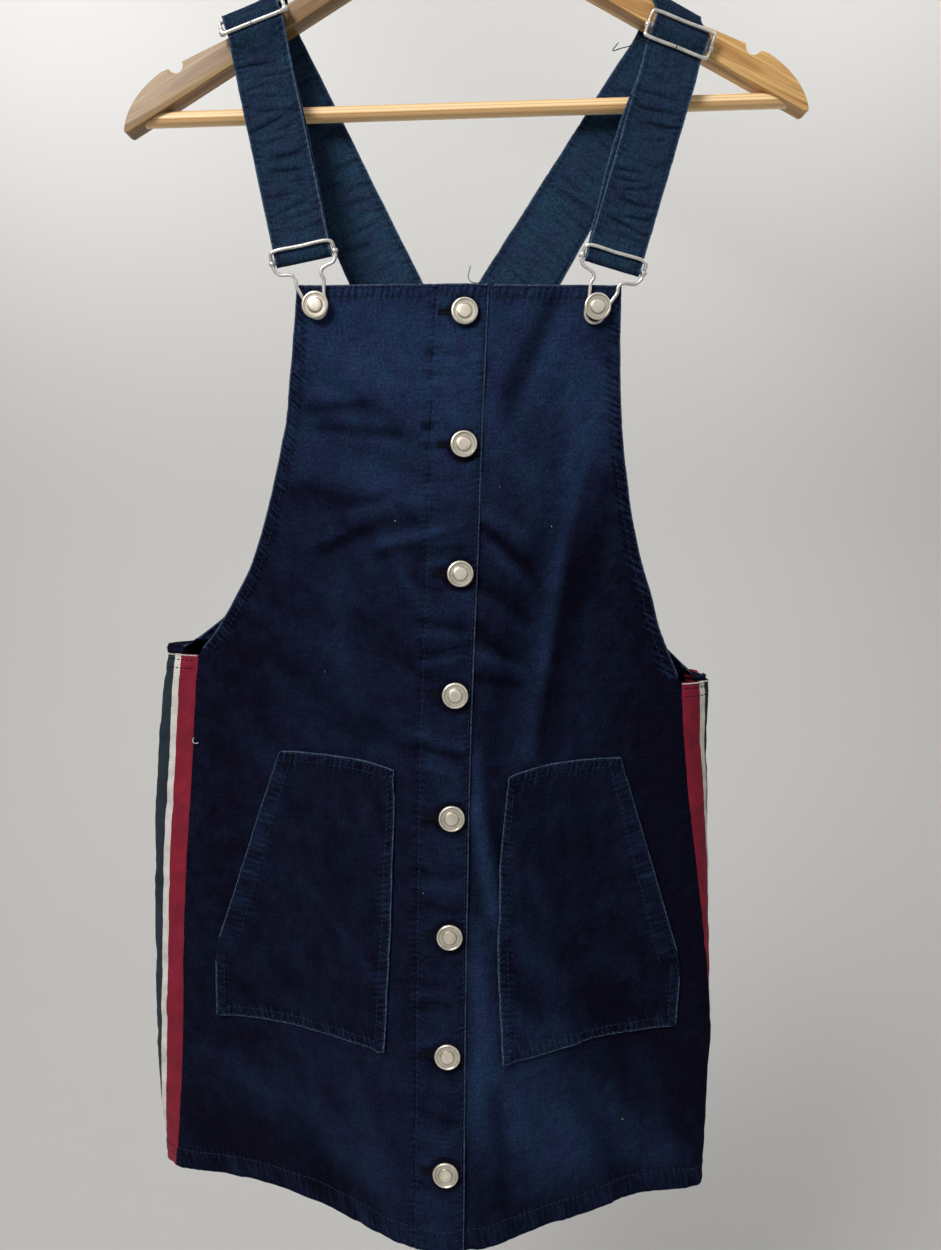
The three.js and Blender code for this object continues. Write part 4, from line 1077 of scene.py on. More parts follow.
def pocket_places(side, shares, across, corner_share):
    """Places x, z of a pocket's grid: straight sides, a corner low on the outer one, and a little bow."""
    p = {name: np.array(place, float) for name, place in POCKETS[side].items()}
    places = []
    for t in shares:
        inner = p["inner_bottom"] * (1 - t) + p["inner_top"] * t
        if t <= corner_share:
            outer = p["outer_bottom"] + (p["corner"] - p["outer_bottom"]) * (t / corner_share)
        else:
            outer = p["corner"] + (p["outer_top"] - p["corner"]) * ((t - corner_share) / (1 - corner_share))
        places.append([inner * (1 - u) + outer * u for u in across])
    places = np.array(places)
    bow_in, bow_up = POCKET_BOWS[side]
    places[..., 0] += bow_in * (np.sin(math.pi * shares)[:, None] * (1 - across)[None, :] ** 2)
    places[..., 1] += bow_up * (shares[:, None] ** 2 * np.sin(math.pi * across**0.75)[None, :])
    return places[:, ::-1] if side == "right" else places


def pocket(side, panel):
    low, corner_z, high = (POCKETS[side][name][1] for name in ("outer_bottom", "corner", "outer_top"))
    corner_share = (corner_z - low) / (high - low)
    shares = spaced(POCKET_TALL, 11, 11, 1.2, 1.7) / POCKET_TALL
    across = spaced(POCKET_WIDE, 11, 20, 1.2, 2.0) / POCKET_WIDE
    places = pocket_places(side, shares, across, corner_share)
    arcs = np.array([[arc_at_x(x, z) for x, z in row] for row in places])
    z = places[..., 1]
    base, normals = on_cloth(panel, arcs.reshape(-1), z.reshape(-1))
    base, normals = base.reshape(places.shape[:2] + (3,)), normals.reshape(places.shape[:2] + (3,))
    x = base[..., 0]
    u = across[None, :] + 0 * arcs
    u = u[:, ::-1] if side == "right" else u
    t = shares[:, None] + 0 * arcs
    from_inner, from_outer = u * POCKET_WIDE, (1 - u) * POCKET_WIDE * 0.95
    from_top, from_bottom = (1 - t) * POCKET_TALL, t * POCKET_TALL
    slanted = step_up(t, corner_share - 0.05, corner_share + 0.05)

    facing_rows = [2.0, FACING_WIDTH - 0.8]
    relief = turned_edge(from_inner, z, POCKET_HEM, POCKET_ROWS, 123, pull=0.4)
    relief += turned_edge(from_top, arcs, POCKET_HEM, POCKET_ROWS, 126, pull=0.4)
    relief += turned_edge(from_bottom, arcs, POCKET_HEM, POCKET_ROWS, 129, pull=0.45)
    relief += (1 - slanted) * turned_edge(from_outer, z, POCKET_HEM, POCKET_ROWS, 132, pull=0.35)
    relief += slanted * turned_edge(from_outer, z, FACING_WIDTH, facing_rows, 135, pull=0.28, pitch=9)
    folds = 0.7 * mottle(arcs, z, 30, 44, 121) + 0.4 * mottle(arcs + 0.4 * z, z, 11, 14, 122)
    folds += swell(POCKET_CREASES[side], x, z)
    up_slant = np.clip((t - corner_share) / (1 - corner_share), 0, 1)
    folds += slanted * 0.9 * np.sin(np.pi * up_slant) * bell(from_outer, 26)
    marks = nearest_seam([
        (from_inner, z, POCKET_ROWS[1], 0.8),
        (from_top, arcs, POCKET_ROWS[1], 0.8),
        (from_bottom, arcs, POCKET_ROWS[1], 0.8),
        (from_outer + FAR * slanted, z, POCKET_ROWS[1], 0.8),
        (from_outer + FAR * (1 - slanted), z, facing_rows[1], 0.55),
    ])
    # The pocket's tone takes the painted light and shade zones of the front beneath it, with a little random
    # unevenness.
    tone = 0.11 + 0.04 * mottle(arcs + 0.4 * z, z, 14, 8, 145)
    tone = tone + swell(RIGHT_PAINTED_LIGHT_ZONES if side == "right" else LEFT_PAINTED_LIGHT_ZONES, x, z)
    tone += 0.12 * slanted * bell(from_outer - 9, 7) * np.sign(mottle(0, z, 1, 7, 133))
    marks.update({"tone": tone, "relief_wear_and_shading": relief + 0.45 * folds})
    relief = np.maximum(relief + folds + 0.35, -0.2)
    points = base + normals * POCKET_LIFT
    piece = shell(f"twill_pocket_{side}", points, normals, relief, arcs, z, marks)
    piece.data.materials.append(navy)
    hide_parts(f"pocket_{side}")
    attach(piece, "root")
    return {"u": u, "t": t, "p": points + normals * relief[..., None], "n": normals, "corner": corner_share}


pockets = {"right": pocket("right", right_panel), "left": pocket("left", left_panel)}

# Shoulder straps
# Each strap is one doubled band: sewn round the slide's bar, down behind to the buckle, up in front,
# through the slide, over the hanger and down to the back panel, where it spreads and is sewn inside.
WIRE = 1.15
SEAM_GAP = 0.3
STRAP_PLY = 1.6
STRAP_HALF = 18.0
STRAP_ROW = 3.1
SLIDE_HALF_WIDTH = 20.8
SLIDE_HALF_HEIGHT = 8.0
SLIDE_FRONT = 2.6
BOARD_THICK = 14.0
STRAPS = {
    "right": {
        "bar": (-97, -21.5, -292), "slide": (-126, -13.2, -149), "lean": 42, "slope": 20,
        "top": (-124, -143.5, 27), "back_from": (-117.5, -155), "back_to": (-32, -334.5),
        "half_end": 23.5, "back_lean": 26, "tail_shift": 1,
    },
    "left": {
        "bar": (99.5, -21.5, -296), "slide": (139.5, -11.8, -157.5), "lean": 4, "slope": -20,
        "top": (137.5, -139, -27), "back_from": (131.5, -156), "back_to": (21.8, -334.5),
        "half_end": 25, "back_lean": -32.5, "tail_shift": -3,
    },
}


def axes_along(bar, across, up, **more):
    """The axes of a strap or of a piece of hardware at its bar: across, up and out from the cloth."""
    return {"bar": bar, "across": across, "up": up, "out": np.cross(across, up), **more}


def strap_axes(strap):
    bar, slide = np.array(strap["bar"], float), np.array(strap["slide"], float)
    run = np.linalg.norm(slide - bar)
    up = (slide - bar) / run
    across = np.array([up[2], 0, -up[0]])
    return axes_along(bar, across / np.linalg.norm(across), up, run=run)


def slide_axes(strap):
    slope, lean = math.radians(strap["slope"]), math.radians(strap["lean"])
    across = np.array([math.cos(slope), 0, math.sin(slope)])
    up = np.array([-math.sin(slope), math.tan(lean), math.cos(slope)])
    return axes_along(np.array(strap["slide"], float), across, up / np.linalg.norm(up))


def at(axes, across, up, out):
    return axes["bar"] + axes["across"] * across + axes["up"] * up + axes["out"] * out


def strap_stations(side):
    strap = STRAPS[side]
    front, slide = strap_axes(strap), slide_axes(strap)
    run = front["run"]
    ply, layer = WIRE + SEAM_GAP + STRAP_PLY / 2, STRAP_PLY + SEAM_GAP
    stations = []

    def add(centre, direction, half=STRAP_HALF):
        stations.append((centre, direction / np.linalg.norm(direction), half))

    on_slide = lambda up, out: add(at(slide, 0, up, out), slide["across"])
    between = front["across"] * 0.75 + slide["across"] * 0.25
    for angle in (-70, -30, 10, 50, 90, 125):
        a = math.radians(angle)
        on_slide(math.cos(a) * ply, math.sin(a) * ply)
    on_slide(-6, -1.4)
    on_slide(-9.5, -1.9)
    add(at(front, 0, run - 24, -1.7), between)
    for up, out in ((run * 0.6, -1.4), (run * 0.4, -1.8), (run * 0.2, -2.0), (6, -ply)):
        add(at(front, strap["tail_shift"] * math.sin(math.pi * up / run), up, out), front["across"])
    for angle in (-90, -45, 0, 45, 90):
        a = math.radians(angle)
        add(at(front, 0, -math.cos(a) * ply, math.sin(a) * ply), front["across"])
    for up, out in ((6, ply), (run * 0.14, 1.4), (run * 0.32, 1.0), (run * 0.5, 0.8), (run * 0.68, 0.7)):
        add(at(front, 0, up, out), front["across"])
    add(at(front, 0, run - 24, layer - 1.7), between)
    on_slide(-9.5, 0)
    on_slide(-7.5, 0.3)
    over = ply + layer
    for angle in (-38, 0, 38):
        a = math.radians(angle)
        on_slide(math.sin(a) * over * 1.15, math.cos(a) * over)
    top_x, top_z, top_slope = strap["top"]
    edge = np.array([math.cos(math.radians(top_slope)), 0, math.sin(math.radians(top_slope))])
    face = -BOARD_THICK / 2
    if strap["lean"] > 20:
        over_wire = SLIDE_FRONT + WIRE + SEAM_GAP + STRAP_PLY / 2
        on_slide(SLIDE_HALF_HEIGHT, over_wire)
        add(at(slide, 0, SLIDE_HALF_HEIGHT + 3.2, over_wire - 1.4), slide["across"] + edge)
        crossing = ((-1.5, 10.2), (3.5, 9.4), (8.3, 4.6))
    else:
        add(at(slide, 0, SLIDE_HALF_HEIGHT, -0.6), slide["across"] + edge)
        crossing = ((face - 2.2, -1.2), (face, 2.4), (-1.5, 4.4), (3.5, 4), (8.3, 1))
    for y, up in crossing:
        add(np.array([top_x, y, top_z + up]), edge)
    lean = math.radians(strap["back_lean"])
    across = np.array([math.cos(lean), 0, math.sin(lean)])
    (x0, z0), (x1, z1) = strap["back_from"], strap["back_to"]
    for i in range(9):
        t = i / 8
        y = 9.2 + 1.4 * t + 1.6 * math.sin(math.pi * t)
        half = STRAP_HALF + (strap["half_end"] - STRAP_HALF) * t
        add(np.array([x0 + (x1 - x0) * t, y, z0 + (z1 - z0) * t]), across, half)
    return stations


def open_curve(points, step):
    """A centripetal curve through an open row of points, in even steps."""
    ends = np.vstack([2 * points[0] - points[1], points, 2 * points[-1] - points[-2]])
    fine = closed_curve(ends, 24)[24:24 * len(points) + 1]
    lengths = np.concatenate([[0], np.cumsum(np.linalg.norm(np.diff(fine[:, :3], axis=0), axis=1))])
    count = int(round(lengths[-1] / step)) + 1
    even = np.linspace(0, lengths[-1], count)
    return even, np.stack([np.interp(even, lengths, fine[:, k]) for k in range(fine.shape[1])], -1)


def strap_wrinkles(run, sideways, length, seed):
    """Short uneven wrinkles across a strap: each a narrow trough with a soft lip on both sides."""
    random = np.random.default_rng(seed)
    relief = np.zeros(np.broadcast(run, sideways).shape)
    place = 5.0
    while place < length - 5:
        middle, half = random.uniform(-8, 8), random.uniform(7, 17)
        slant, bow = random.normal(0.0, 0.16), random.normal(0.0, 0.005)
        depth, narrow = random.uniform(0.4, 1.2), random.uniform(1.0, 1.7)
        off = run - place - slant * sideways - bow * sideways**2
        share = np.exp(-(((sideways - middle) / half) ** 4))
        relief += depth * share * (0.6 * bell(off - 2.2 * narrow, 1.6 * narrow) - bell(off, narrow))
        place += random.uniform(4.5, 10.5)
    return relief


def strap_band(side):
    """The strap's middle surface along its whole run, its wrinkles and its distance in from each edge."""
    stations = strap_stations(side)
    packed = np.array([np.concatenate([c, d * h, [h]]) for c, d, h in stations])
    along, line = open_curve(packed, 1.05)
    centre, half = line[:, :3], line[:, 3:6]
    tangent = np.gradient(centre, axis=0)
    tangent /= np.linalg.norm(tangent, axis=1, keepdims=True)
    out = np.cross(half, tangent)
    out /= np.linalg.norm(out, axis=1, keepdims=True)
    across = spaced(36.0, 6, 6, 0.9, 1.9) / 18.0 - 1
    strap = STRAPS[side]
    hardware = [np.array(strap["bar"], float), np.array(strap["slide"], float)]
    hardware.append(np.array([strap["top"][0], 0, strap["top"][1]]))
    nearest = np.min([np.linalg.norm(centre - place, axis=1) for place in hardware], axis=0)
    loose = 0.12 + 0.88 * step_up(nearest, 10, 26)[:, None]
    seed = 151 if side == "right" else 181
    edge_share = np.abs(across)[None, :]
    from_edge = (1 - edge_share) * line[:, 6:7]
    run = along[:, None] + 0 * from_edge
    side_of = np.sign(across)[None, :] * 40
    slack = 0.35 * (mottle(run, side_of, 11, 1, seed + 5) + 0.6 * mottle(run, side_of, 4.5, 1, seed + 6))
    width = line[:, 6:7] + slack * edge_share**4 * loose * 0.45
    points = centre[:, None] + (half / line[:, 6:7])[:, None] * (across[None, :] * width)[..., None]
    normals = np.repeat(out[:, None], len(across), 1)
    relief = 0.30 * ladder(run + 0.3 * from_edge + side_of, 4.3, seed) * np.exp(-((from_edge - 3) / 5.0) ** 2)
    relief += 0.22 * mottle(run - 0.2 * across[None, :] * 18, across[None, :] * 1.2, 13, 2.2, seed + 2)
    relief += 0.12 * mottle(run, from_edge, 3.1, 3, seed + 3)
    relief += strap_wrinkles(run, across[None, :] * 18, float(along[-1]), seed)
    behind = step_up(along, along[-1] * 0.60, along[-1] * 0.68)[:, None]
    relief_wear_and_shading = relief * loose * 1.5 * (1 - 0.5 * behind)
    relief = np.where(behind > 0.5, relief, np.maximum(0.85 * relief + 0.5, -0.05))
    relief *= loose * (1 - 0.4 * behind)
    relief -= 0.14 * bell(from_edge - STRAP_ROW, 0.8)
    return along, points, normals, relief, relief_wear_and_shading, from_edge, run


def strap_piece(side):
    along, points, normals, relief, relief_wear_and_shading, from_edge, run = strap_band(side)
    columns = relief.shape[1]
    side_sign = np.sign(np.arange(columns) - columns // 2)[None, :]
    sideways = np.linalg.norm(points - points[:, columns // 2:columns // 2 + 1], axis=-1) * side_sign
    # The run behind the hanger, which is in shade, is painted paler as painted light.
    painted_light_behind = 0.9 * step_up(run, 0.55 * along[-1], 0.7 * along[-1])
    marks = {
        "tone": 0.5 + 0.25 * mottle(run, from_edge, 24, 12, 156) + painted_light_behind,
        "relief_wear_and_shading": relief_wear_and_shading,
        "seam_in": from_edge, "seam_along": run + 900 * side_sign,
        "seam_row": NO_ROW + 0 * run, "seam_pull": 0.75 + 0 * run, "seam_first": STRAP_ROW + 0 * run,
    }
    piece = shell(
        f"strap_band_{side}", points, normals, relief, sideways, run, marks,
        thickness=STRAP_PLY, offset=0, cloths=(strap_twill_painted_lighter,),
    )
    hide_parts(f"strap_{side}")
    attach(piece, "root")
    return {"p": points + normals * relief[..., None], "n": normals, "from_edge": from_edge}


# The straps' twill is a lighter copy of the navy twill, painted lighter as painted light falling from above.
strap_twill_painted_lighter = twill(
    "strap_twill_painted_lighter", (0.0090, 0.0180, 0.0385, 1), (0.0170, 0.0385, 0.0790, 1),
    (0.062, 0.104, 0.168, 1), (0.0024, 0.0042, 0.0110, 1),
)
straps = {side: strap_piece(side) for side in ("right", "left")}

# Slides and buckles
# The slide is a bent wire frame with a bar across it, and the buckle a bail over a bar, with a long loop
# below that catches the bib's button. Both are satin plated steel wire of 2.3 mm, with a collar at each
# end of the bar.
BIB_BUTTONS = {"right": (-90, -321), "left": (90, -322)}
BUCKLE_HALF = 20.3
BUCKLE_LOOP = (
    (BUCKLE_HALF, 0), (20, -3.6), (17.4, -6.8), (13, -7.8), (9.6, -9.2), (8.4, -11.8),
    (9, -15.5), (8, -19.5), (6.8, -24.5), (6.4, -30.5), (4.4, -35.6), (0, -37.7),
)
BAIL = ((BUCKLE_HALF, 2.4, 0.4), (19.6, 4.8, 0.85), (17, 5.9, 1), (0, 5.9, 1))
BAIL_FRONT = 4.4
COLLAR_RADIUS = 2.05
COLLAR_LENGTH = 4.4


def select_only(piece):
    bpy.ops.object.select_all(action="DESELECT")
    piece.select_set(True)
    bpy.context.view_layer.objects.active = piece


def bent_wire(name, points, radius, closed=False):
    """Round wire bent through a row of points, as one closed mesh."""
    if closed:
        line = closed_curve(np.array(points), 8)[:-1]
    else:
        line = open_curve(np.array(points), 0.55)[1]
    path = bpy.data.curves.new(name, "CURVE")
    path.dimensions = "3D"
    spline = path.splines.new("POLY")
    spline.points.add(len(line) - 1)
    for point, place in zip(spline.points, line):
        point.co = (*(place * MM), 1)
    spline.use_cyclic_u = closed
    path.bevel_depth = radius * MM
    path.bevel_resolution = 4
    path.use_fill_caps = not closed
    wire = bpy.data.objects.new(name, path)
    bpy.context.scene.collection.objects.link(wire)
    select_only(wire)
    bpy.ops.object.convert(target="MESH")
    bpy.ops.object.shade_smooth()
    return bpy.context.object


def collar(place, direction):
    """A small rounded collar that closes a bar's end round the wire."""
    bpy.ops.object.select_all(action="DESELECT")
    bpy.ops.mesh.primitive_cylinder_add(vertices=20, radius=COLLAR_RADIUS * MM, depth=COLLAR_LENGTH * MM)
    ring = bpy.context.object
    edge = ring.modifiers.new("edge", "BEVEL")
    edge.width = 0.42 * COLLAR_LENGTH * MM
    edge.segments = 3
    bpy.ops.object.modifier_apply(modifier="edge")
    ring.rotation_mode = "QUATERNION"
    ring.rotation_quaternion = Vector(direction).to_track_quat("Z", "Y")
    ring.location = Vector(place) * MM
    bpy.ops.object.transform_apply(location=True, rotation=True, scale=True)
    bpy.ops.object.shade_smooth()
    return ring


def collared_bar(axes, half):
    """The straight bar across a piece of hardware, with a collar at each end."""
    ends = [at(axes, across, 0, 0) for across in (-half, half)]
    bar = bent_wire("bar", [ends[0], (ends[0] + ends[1]) / 2, ends[1]], WIRE)
    return [bar] + [collar(end, axes["across"]) for end in ends]


def joined(name, pieces):
    bpy.ops.object.select_all(action="DESELECT")
    for piece in pieces:
        piece.select_set(True)
    bpy.context.view_layer.objects.active = pieces[0]
    bpy.ops.object.join()
    whole = bpy.context.object
    whole.name = whole.data.name = name
    return whole


def plated(name, colour, dull, roughness, rings=()):
    """Satin plated metal, dulled in patches and a little scratched, and on a button darker in its grooves."""
    metal = bpy.data.materials.new(name)
    r = Recipe(metal)
    place = r.node("TexCoord", "Object")
    patches = r.noise(place, 150, 5)
    base = r.mix(r.ramp(patches, 0.42, 0.7), colour, dull)
    if rings:
        share = r.math("DIVIDE", r.mark("ring"), BUTTON_RADIUS)
        table = [(where, (tone, tone * 0.99, tone * 0.97, 1)) for where, tone in rings]
        base = r.mix(0.85, base, r.stops(share, table), "MULTIPLY")
    r.finish({
        "Base Color": base, "Metallic": 0.72,
        "Roughness": r.ramp(patches, 0.0, 1.0, roughness - 0.07, roughness + 0.12),
        "Normal": r.bump(r.noise(place, 3000, 3), 0.1, 0.00003),
    })
    return metal


wire_steel = plated("wire_steel", (0.80, 0.78, 0.74, 1), (0.56, 0.54, 0.50, 1), 0.30)


def slide_piece(side):
    axes = slide_axes(STRAPS[side])
    w, h, corner = SLIDE_HALF_WIDTH, SLIDE_HALF_HEIGHT, 2.2
    outline = [
        (w - corner, h, 1), (w - 0.4, h - 0.6, 1), (w, h - corner, 0.75), (w, 0, 0),
        (w, -h + corner, 0.75), (w - 0.4, -h + 0.6, 1), (w - corner, -h, 1), (0, -h, 1),
        (-w + corner, -h, 1), (-w + 0.4, -h + 0.6, 1), (-w, -h + corner, 0.75), (-w, 0, 0),
        (-w, h - corner, 0.75), (-w + 0.4, h - 0.6, 1), (-w + corner, h, 1), (0, h, 1),
    ]
    name = f"slide_wire_{side}"
    joint = -1.5 if side == "right" else 0.5
    outline[7] = (joint - 0.3, -h, 1)
    outline = outline[7:] + outline[:7] + [(joint + 0.3, -h, 1)]
    frame_wire = bent_wire(name, [at(axes, a, u, o * SLIDE_FRONT) for a, u, o in outline], WIRE)
    return joined(name, [frame_wire, *collared_bar(axes, w)])


def buckle_piece(side, panel):
    axes = strap_axes(STRAPS[side])
    x, z = BIB_BUTTONS[side]
    seat, normal = on_cloth(panel, [arc_at_x(x, z)], [z])
    seat = seat[0] + normal[0] * (SEAM_GAP + WIRE + 0.9)
    up = (axes["bar"] - seat) / np.linalg.norm(axes["bar"] - seat)
    across = np.array([up[2], 0, -up[0]]) / math.hypot(up[0], up[2])
    hang = axes_along(axes["bar"], across, up)
    loop = [at(hang, a, u, 0) for a, u in BUCKLE_LOOP]
    loop += [at(hang, -a, u, 0) for a, u in reversed(BUCKLE_LOOP[:-1])]
    bail = [at(axes, -a, u, share * BAIL_FRONT) for a, u, share in BAIL]
    bail += [at(axes, a, u, share * BAIL_FRONT) for a, u, share in reversed(BAIL[:-1])]
    name = f"buckle_wire_{side}"
    return joined(name, [bent_wire(name, loop + bail, WIRE, closed=True), *collared_bar(axes, BUCKLE_HALF)])


for side, panel in (("right", right_panel), ("left", left_panel)):
    for piece, node in ((slide_piece(side), f"slide_{side}"), (buckle_piece(side, panel), f"buckle_{side}")):
        piece.data.materials.append(wire_steel)
        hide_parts(node)
        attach(piece, "root")

# Buttons
# Pressed metal shank buttons: a rolled rim, a sunk ring and a raised centre on a short stem.
# Eight close the fly, and one at each corner of the bib takes the buckle's loop.
STEM = 3.6
BUTTON_RADIUS = 8.6
BUTTON_PROFILE = (
    (7.3, 0.0), (8.3, 0.5), (BUTTON_RADIUS, 1.1), (8.45, 1.65), (8.0, 2.05), (7.5, 2.1), (7.15, 1.85),
    (6.9, 1.5),
    (5.6, 1.42), (4.75, 1.4), (4.45, 1.62), (4.3, 2.0), (4.0, 2.15), (3.2, 2.22), (2.0, 2.28), (0.7, 2.3),
)

# How bright the metal is at each share of the radius, from the raised centre to the rolled rim.
BUTTON_TONES = (
    (0.0, 1.0), (0.42, 0.98), (0.47, 0.82), (0.53, 0.22), (0.60, 0.72), (0.78, 0.68), (0.83, 0.36),
    (0.88, 1.0), (1.0, 0.7),
)


def turned_button(name, place, outward, cap):
    """A button turned from its profile, ring by ring, and set with its stem against the cloth."""
    rings_of = [(STEM, SEAM_GAP), (STEM, cap)] + [(r, cap + rise) for r, rise in BUTTON_PROFILE]
    bpy.ops.object.select_all(action="DESELECT")
    bpy.ops.mesh.primitive_circle_add(vertices=56, radius=rings_of[0][0] * MM, fill_type="NGON")
    button = bpy.context.object
    button.name = button.data.name = name
    bpy.ops.object.mode_set(mode="EDIT")
    bpy.ops.mesh.select_all(action="SELECT")
    bpy.ops.transform.translate(value=(0, 0, rings_of[0][1] * MM))
    for (r0, h0), (r1, h1) in zip(rings_of, rings_of[1:]):
        bpy.ops.mesh.extrude_region_move(TRANSFORM_OT_translate={"value": (0, 0, (h1 - h0) * MM)})
        bpy.ops.transform.resize(value=(r1 / r0, r1 / r0, 1), center_override=(0, 0, h1 * MM))
    bpy.ops.mesh.select_all(action="SELECT")
    bpy.ops.mesh.normals_make_consistent(inside=False)
    bpy.ops.object.mode_set(mode="OBJECT")
    spots = np.array([v.co for v in button.data.vertices])
    ring = button.data.attributes.new("ring", "FLOAT", "POINT")
    ring.data.foreach_set("value", (np.hypot(spots[:, 0], spots[:, 1]) / MM).astype(np.float32))
    button.rotation_mode = "QUATERNION"
    button.rotation_quaternion = Vector(outward).to_track_quat("Z", "Y")
    button.location = Vector(place) * MM
    bpy.ops.object.transform_apply(location=True, rotation=True, scale=True)
    bpy.ops.object.shade_smooth_by_angle(angle=math.radians(40))
    return button


button_metal = plated("button_metal", (0.90, 0.845, 0.735, 1), (0.66, 0.60, 0.49, 1), 0.34, BUTTON_TONES)
buttons = []
for number, (z, from_edge) in enumerate(FLY_BUTTONS, 1):
    s = section(z, "fly") - from_edge
    buttons.append((f"fly_button_{number}", f"button_{number}", right_panel, s, z, 1.5))
for side, panel in (("right", right_panel), ("left", left_panel)):
    x, z = BIB_BUTTONS[side]
    buttons.append((f"brace_button_{side}", f"bib_button_{side}", panel, arc_at_x(x, z), z, 4.2))
for name, node, panel, s, z, cap in buttons:
    _, outward = on_cloth(panel, [s], [z])
    button = turned_button(name, cloth_row(np.array([s]), z)[0], outward[0], cap)
    button.data.materials.append(button_metal)
    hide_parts(node)
    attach(button, "root")

# Stitching
# Navy thread a shade off the cloth: double rows along the armholes and pockets, single rows at the hem,
# the fly and the straps, and close stitching round each buttonhole.
STITCH_LENGTH = 2.7
STITCH_GAP = 0.75
THREAD = 0.29
RIM = 5
STITCH_RINGS = ((-0.5, 0.35, -0.55), (-0.3, 1.0, 0.15), (0.3, 1.0, 0.15), (0.5, 0.35, -0.55))


def even_stitches(points, normals, length=STITCH_LENGTH, gap=STITCH_GAP):
    """Start, end and normal of each stitch along a line of points on the cloth."""
    lengths = np.concatenate([[0], np.cumsum(np.linalg.norm(np.diff(points, axis=0), axis=1))])
    starts = np.arange(gap, lengths[-1] - length, length + gap)
    pick = lambda values, where: np.stack([np.interp(where, lengths, values[:, k]) for k in range(3)], -1)
    return pick(points, starts), pick(points, starts + length), pick(normals, starts + length / 2)


def sewn(name, stitches, radius=THREAD, yarn=None):
    """One mesh of many small rounded stitches."""
    start, end, out = (np.concatenate(group) for group in zip(*stitches))
    along = end - start
    length = np.linalg.norm(along, axis=1, keepdims=True)
    along /= np.maximum(length, 1e-6)
    side = np.cross(out, along)
    side /= np.maximum(np.linalg.norm(side, axis=1, keepdims=True), 1e-6)
    out = np.cross(along, side)
    middle = (start + end) / 2
    corners = []
    for where, size, rise in STITCH_RINGS:
        for k in range(RIM):
            a = 2 * math.pi * k / RIM
            corners.append(
                middle + along * length * where
                + side * math.cos(a) * radius * size
                + out * (math.sin(a) * radius * size + rise * radius)
            )
    corners = np.stack(corners, 1)
    faces = []
    for band in range(len(STITCH_RINGS) - 1):
        for k in range(RIM):
            a, b = band * RIM + k, band * RIM + (k + 1) % RIM
            faces.append((a, b, b + RIM, a + RIM))
    faces.append(tuple(reversed(range(RIM))))
    faces.append(tuple(range(len(corners[0]) - RIM, len(corners[0]))))
    all_faces = [tuple(n * corners.shape[1] + v for v in face) for n in range(len(corners)) for face in faces]
    mesh = bpy.data.meshes.new(name)
    mesh.from_pydata((corners * MM).reshape(-1, 3).tolist(), [], all_faces)
    piece = bpy.data.objects.new(name, mesh)
    bpy.context.scene.collection.objects.link(piece)
    select_only(piece)
    bpy.ops.object.mode_set(mode="EDIT")
    bpy.ops.mesh.select_all(action="SELECT")
    bpy.ops.mesh.normals_make_consistent(inside=False)
    bpy.ops.object.mode_set(mode="OBJECT")
    bpy.ops.object.shade_smooth()
    piece.data.materials.append(yarn or thread)
    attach(piece, "root")
    return piece


def spun(name, dark, light):
    """Sewing thread, a little lighter and darker along its twist."""
    yarn = bpy.data.materials.new(name)
    r = Recipe(yarn)
    twist = r.noise(r.node("TexCoord", "Object"), 900)
    r.finish({
        "Base Color": r.mix(twist, dark, light),
        "Roughness": 0.7, "Specular IOR Level": 0.1, "Sheen Weight": 0.03,
    })
    return yarn


thread = spun("navy_thread", (0.005, 0.008, 0.022, 1), (0.020, 0.034, 0.072, 1))
dark_thread = spun("dark_navy_thread", (0.0010, 0.0013, 0.0040, 1), (0.007, 0.010, 0.024, 1))
white_thread = spun("white_thread", (0.35, 0.34, 0.32, 1), (0.66, 0.64, 0.60, 1))


def seam_down(panel, arc_of, low, high):
    z = np.arange(low, high, 1.6)
    return even_stitches(*on_cloth(panel, [arc_of(h) for h in z], z))


def seam_across(panel, z, low, high):
    s = np.arange(low, high, 1.6)
    return even_stitches(*on_cloth(panel, s, np.full(len(s), z)))


def armhole_row(panel, side, edge_of, inward, towards, top):
    """A row of stitches that keeps its distance from an armhole's slanted edge."""
    z = np.arange(UNDERARM_Z[side] + 3, top - 1, 1.6)
    edge = np.array([edge_of(side, h) for h in z])
    slope = np.minimum(np.abs(np.gradient(edge, z)), STEEPEST)
    return even_stitches(*on_cloth(panel, edge + towards * inward * np.sqrt(1 + slope**2), z))


front_seams = []
for side, panel, towards in (("right", right_panel, 1), ("left", left_panel, -1)):
    front_seams += [armhole_row(panel, side, front_edge, row, towards, BIB_TOP_Z) for row in ARMHOLE_ROWS]
fly_at = lambda z: section(z, "fly")
top_fly = fly_at(BIB_TOP_Z)
for row in BIB_ROWS:
    z = BIB_TOP_Z - row
    front_seams.append(seam_across(right_panel, z, front_edge("right", z) + 1, top_fly - 1))
    front_seams.append(seam_across(left_panel, z, top_fly + 1.5, front_edge("left", z) - 1))
hem_row = HEM_Z + HEM_DEPTH - 0.8
front_seams.append(seam_across(right_panel, hem_row, front_seam("right", hem_row) + 1, fly_at(hem_row) - 1))
front_seams.append(seam_across(left_panel, hem_row, fly_at(hem_row) + 1.5, front_seam("left", hem_row) - 1))
front_seams.append(seam_down(right_panel, lambda z: fly_at(z) - 2.2, HEM_Z + 1, BIB_TOP_Z - 1))
front_seams.append(seam_down(right_panel, lambda z: fly_at(z) - FLY_WIDTH + 0.6, HEM_Z + 1, BIB_TOP_Z - 8))
sewn("front_stitching", front_seams)

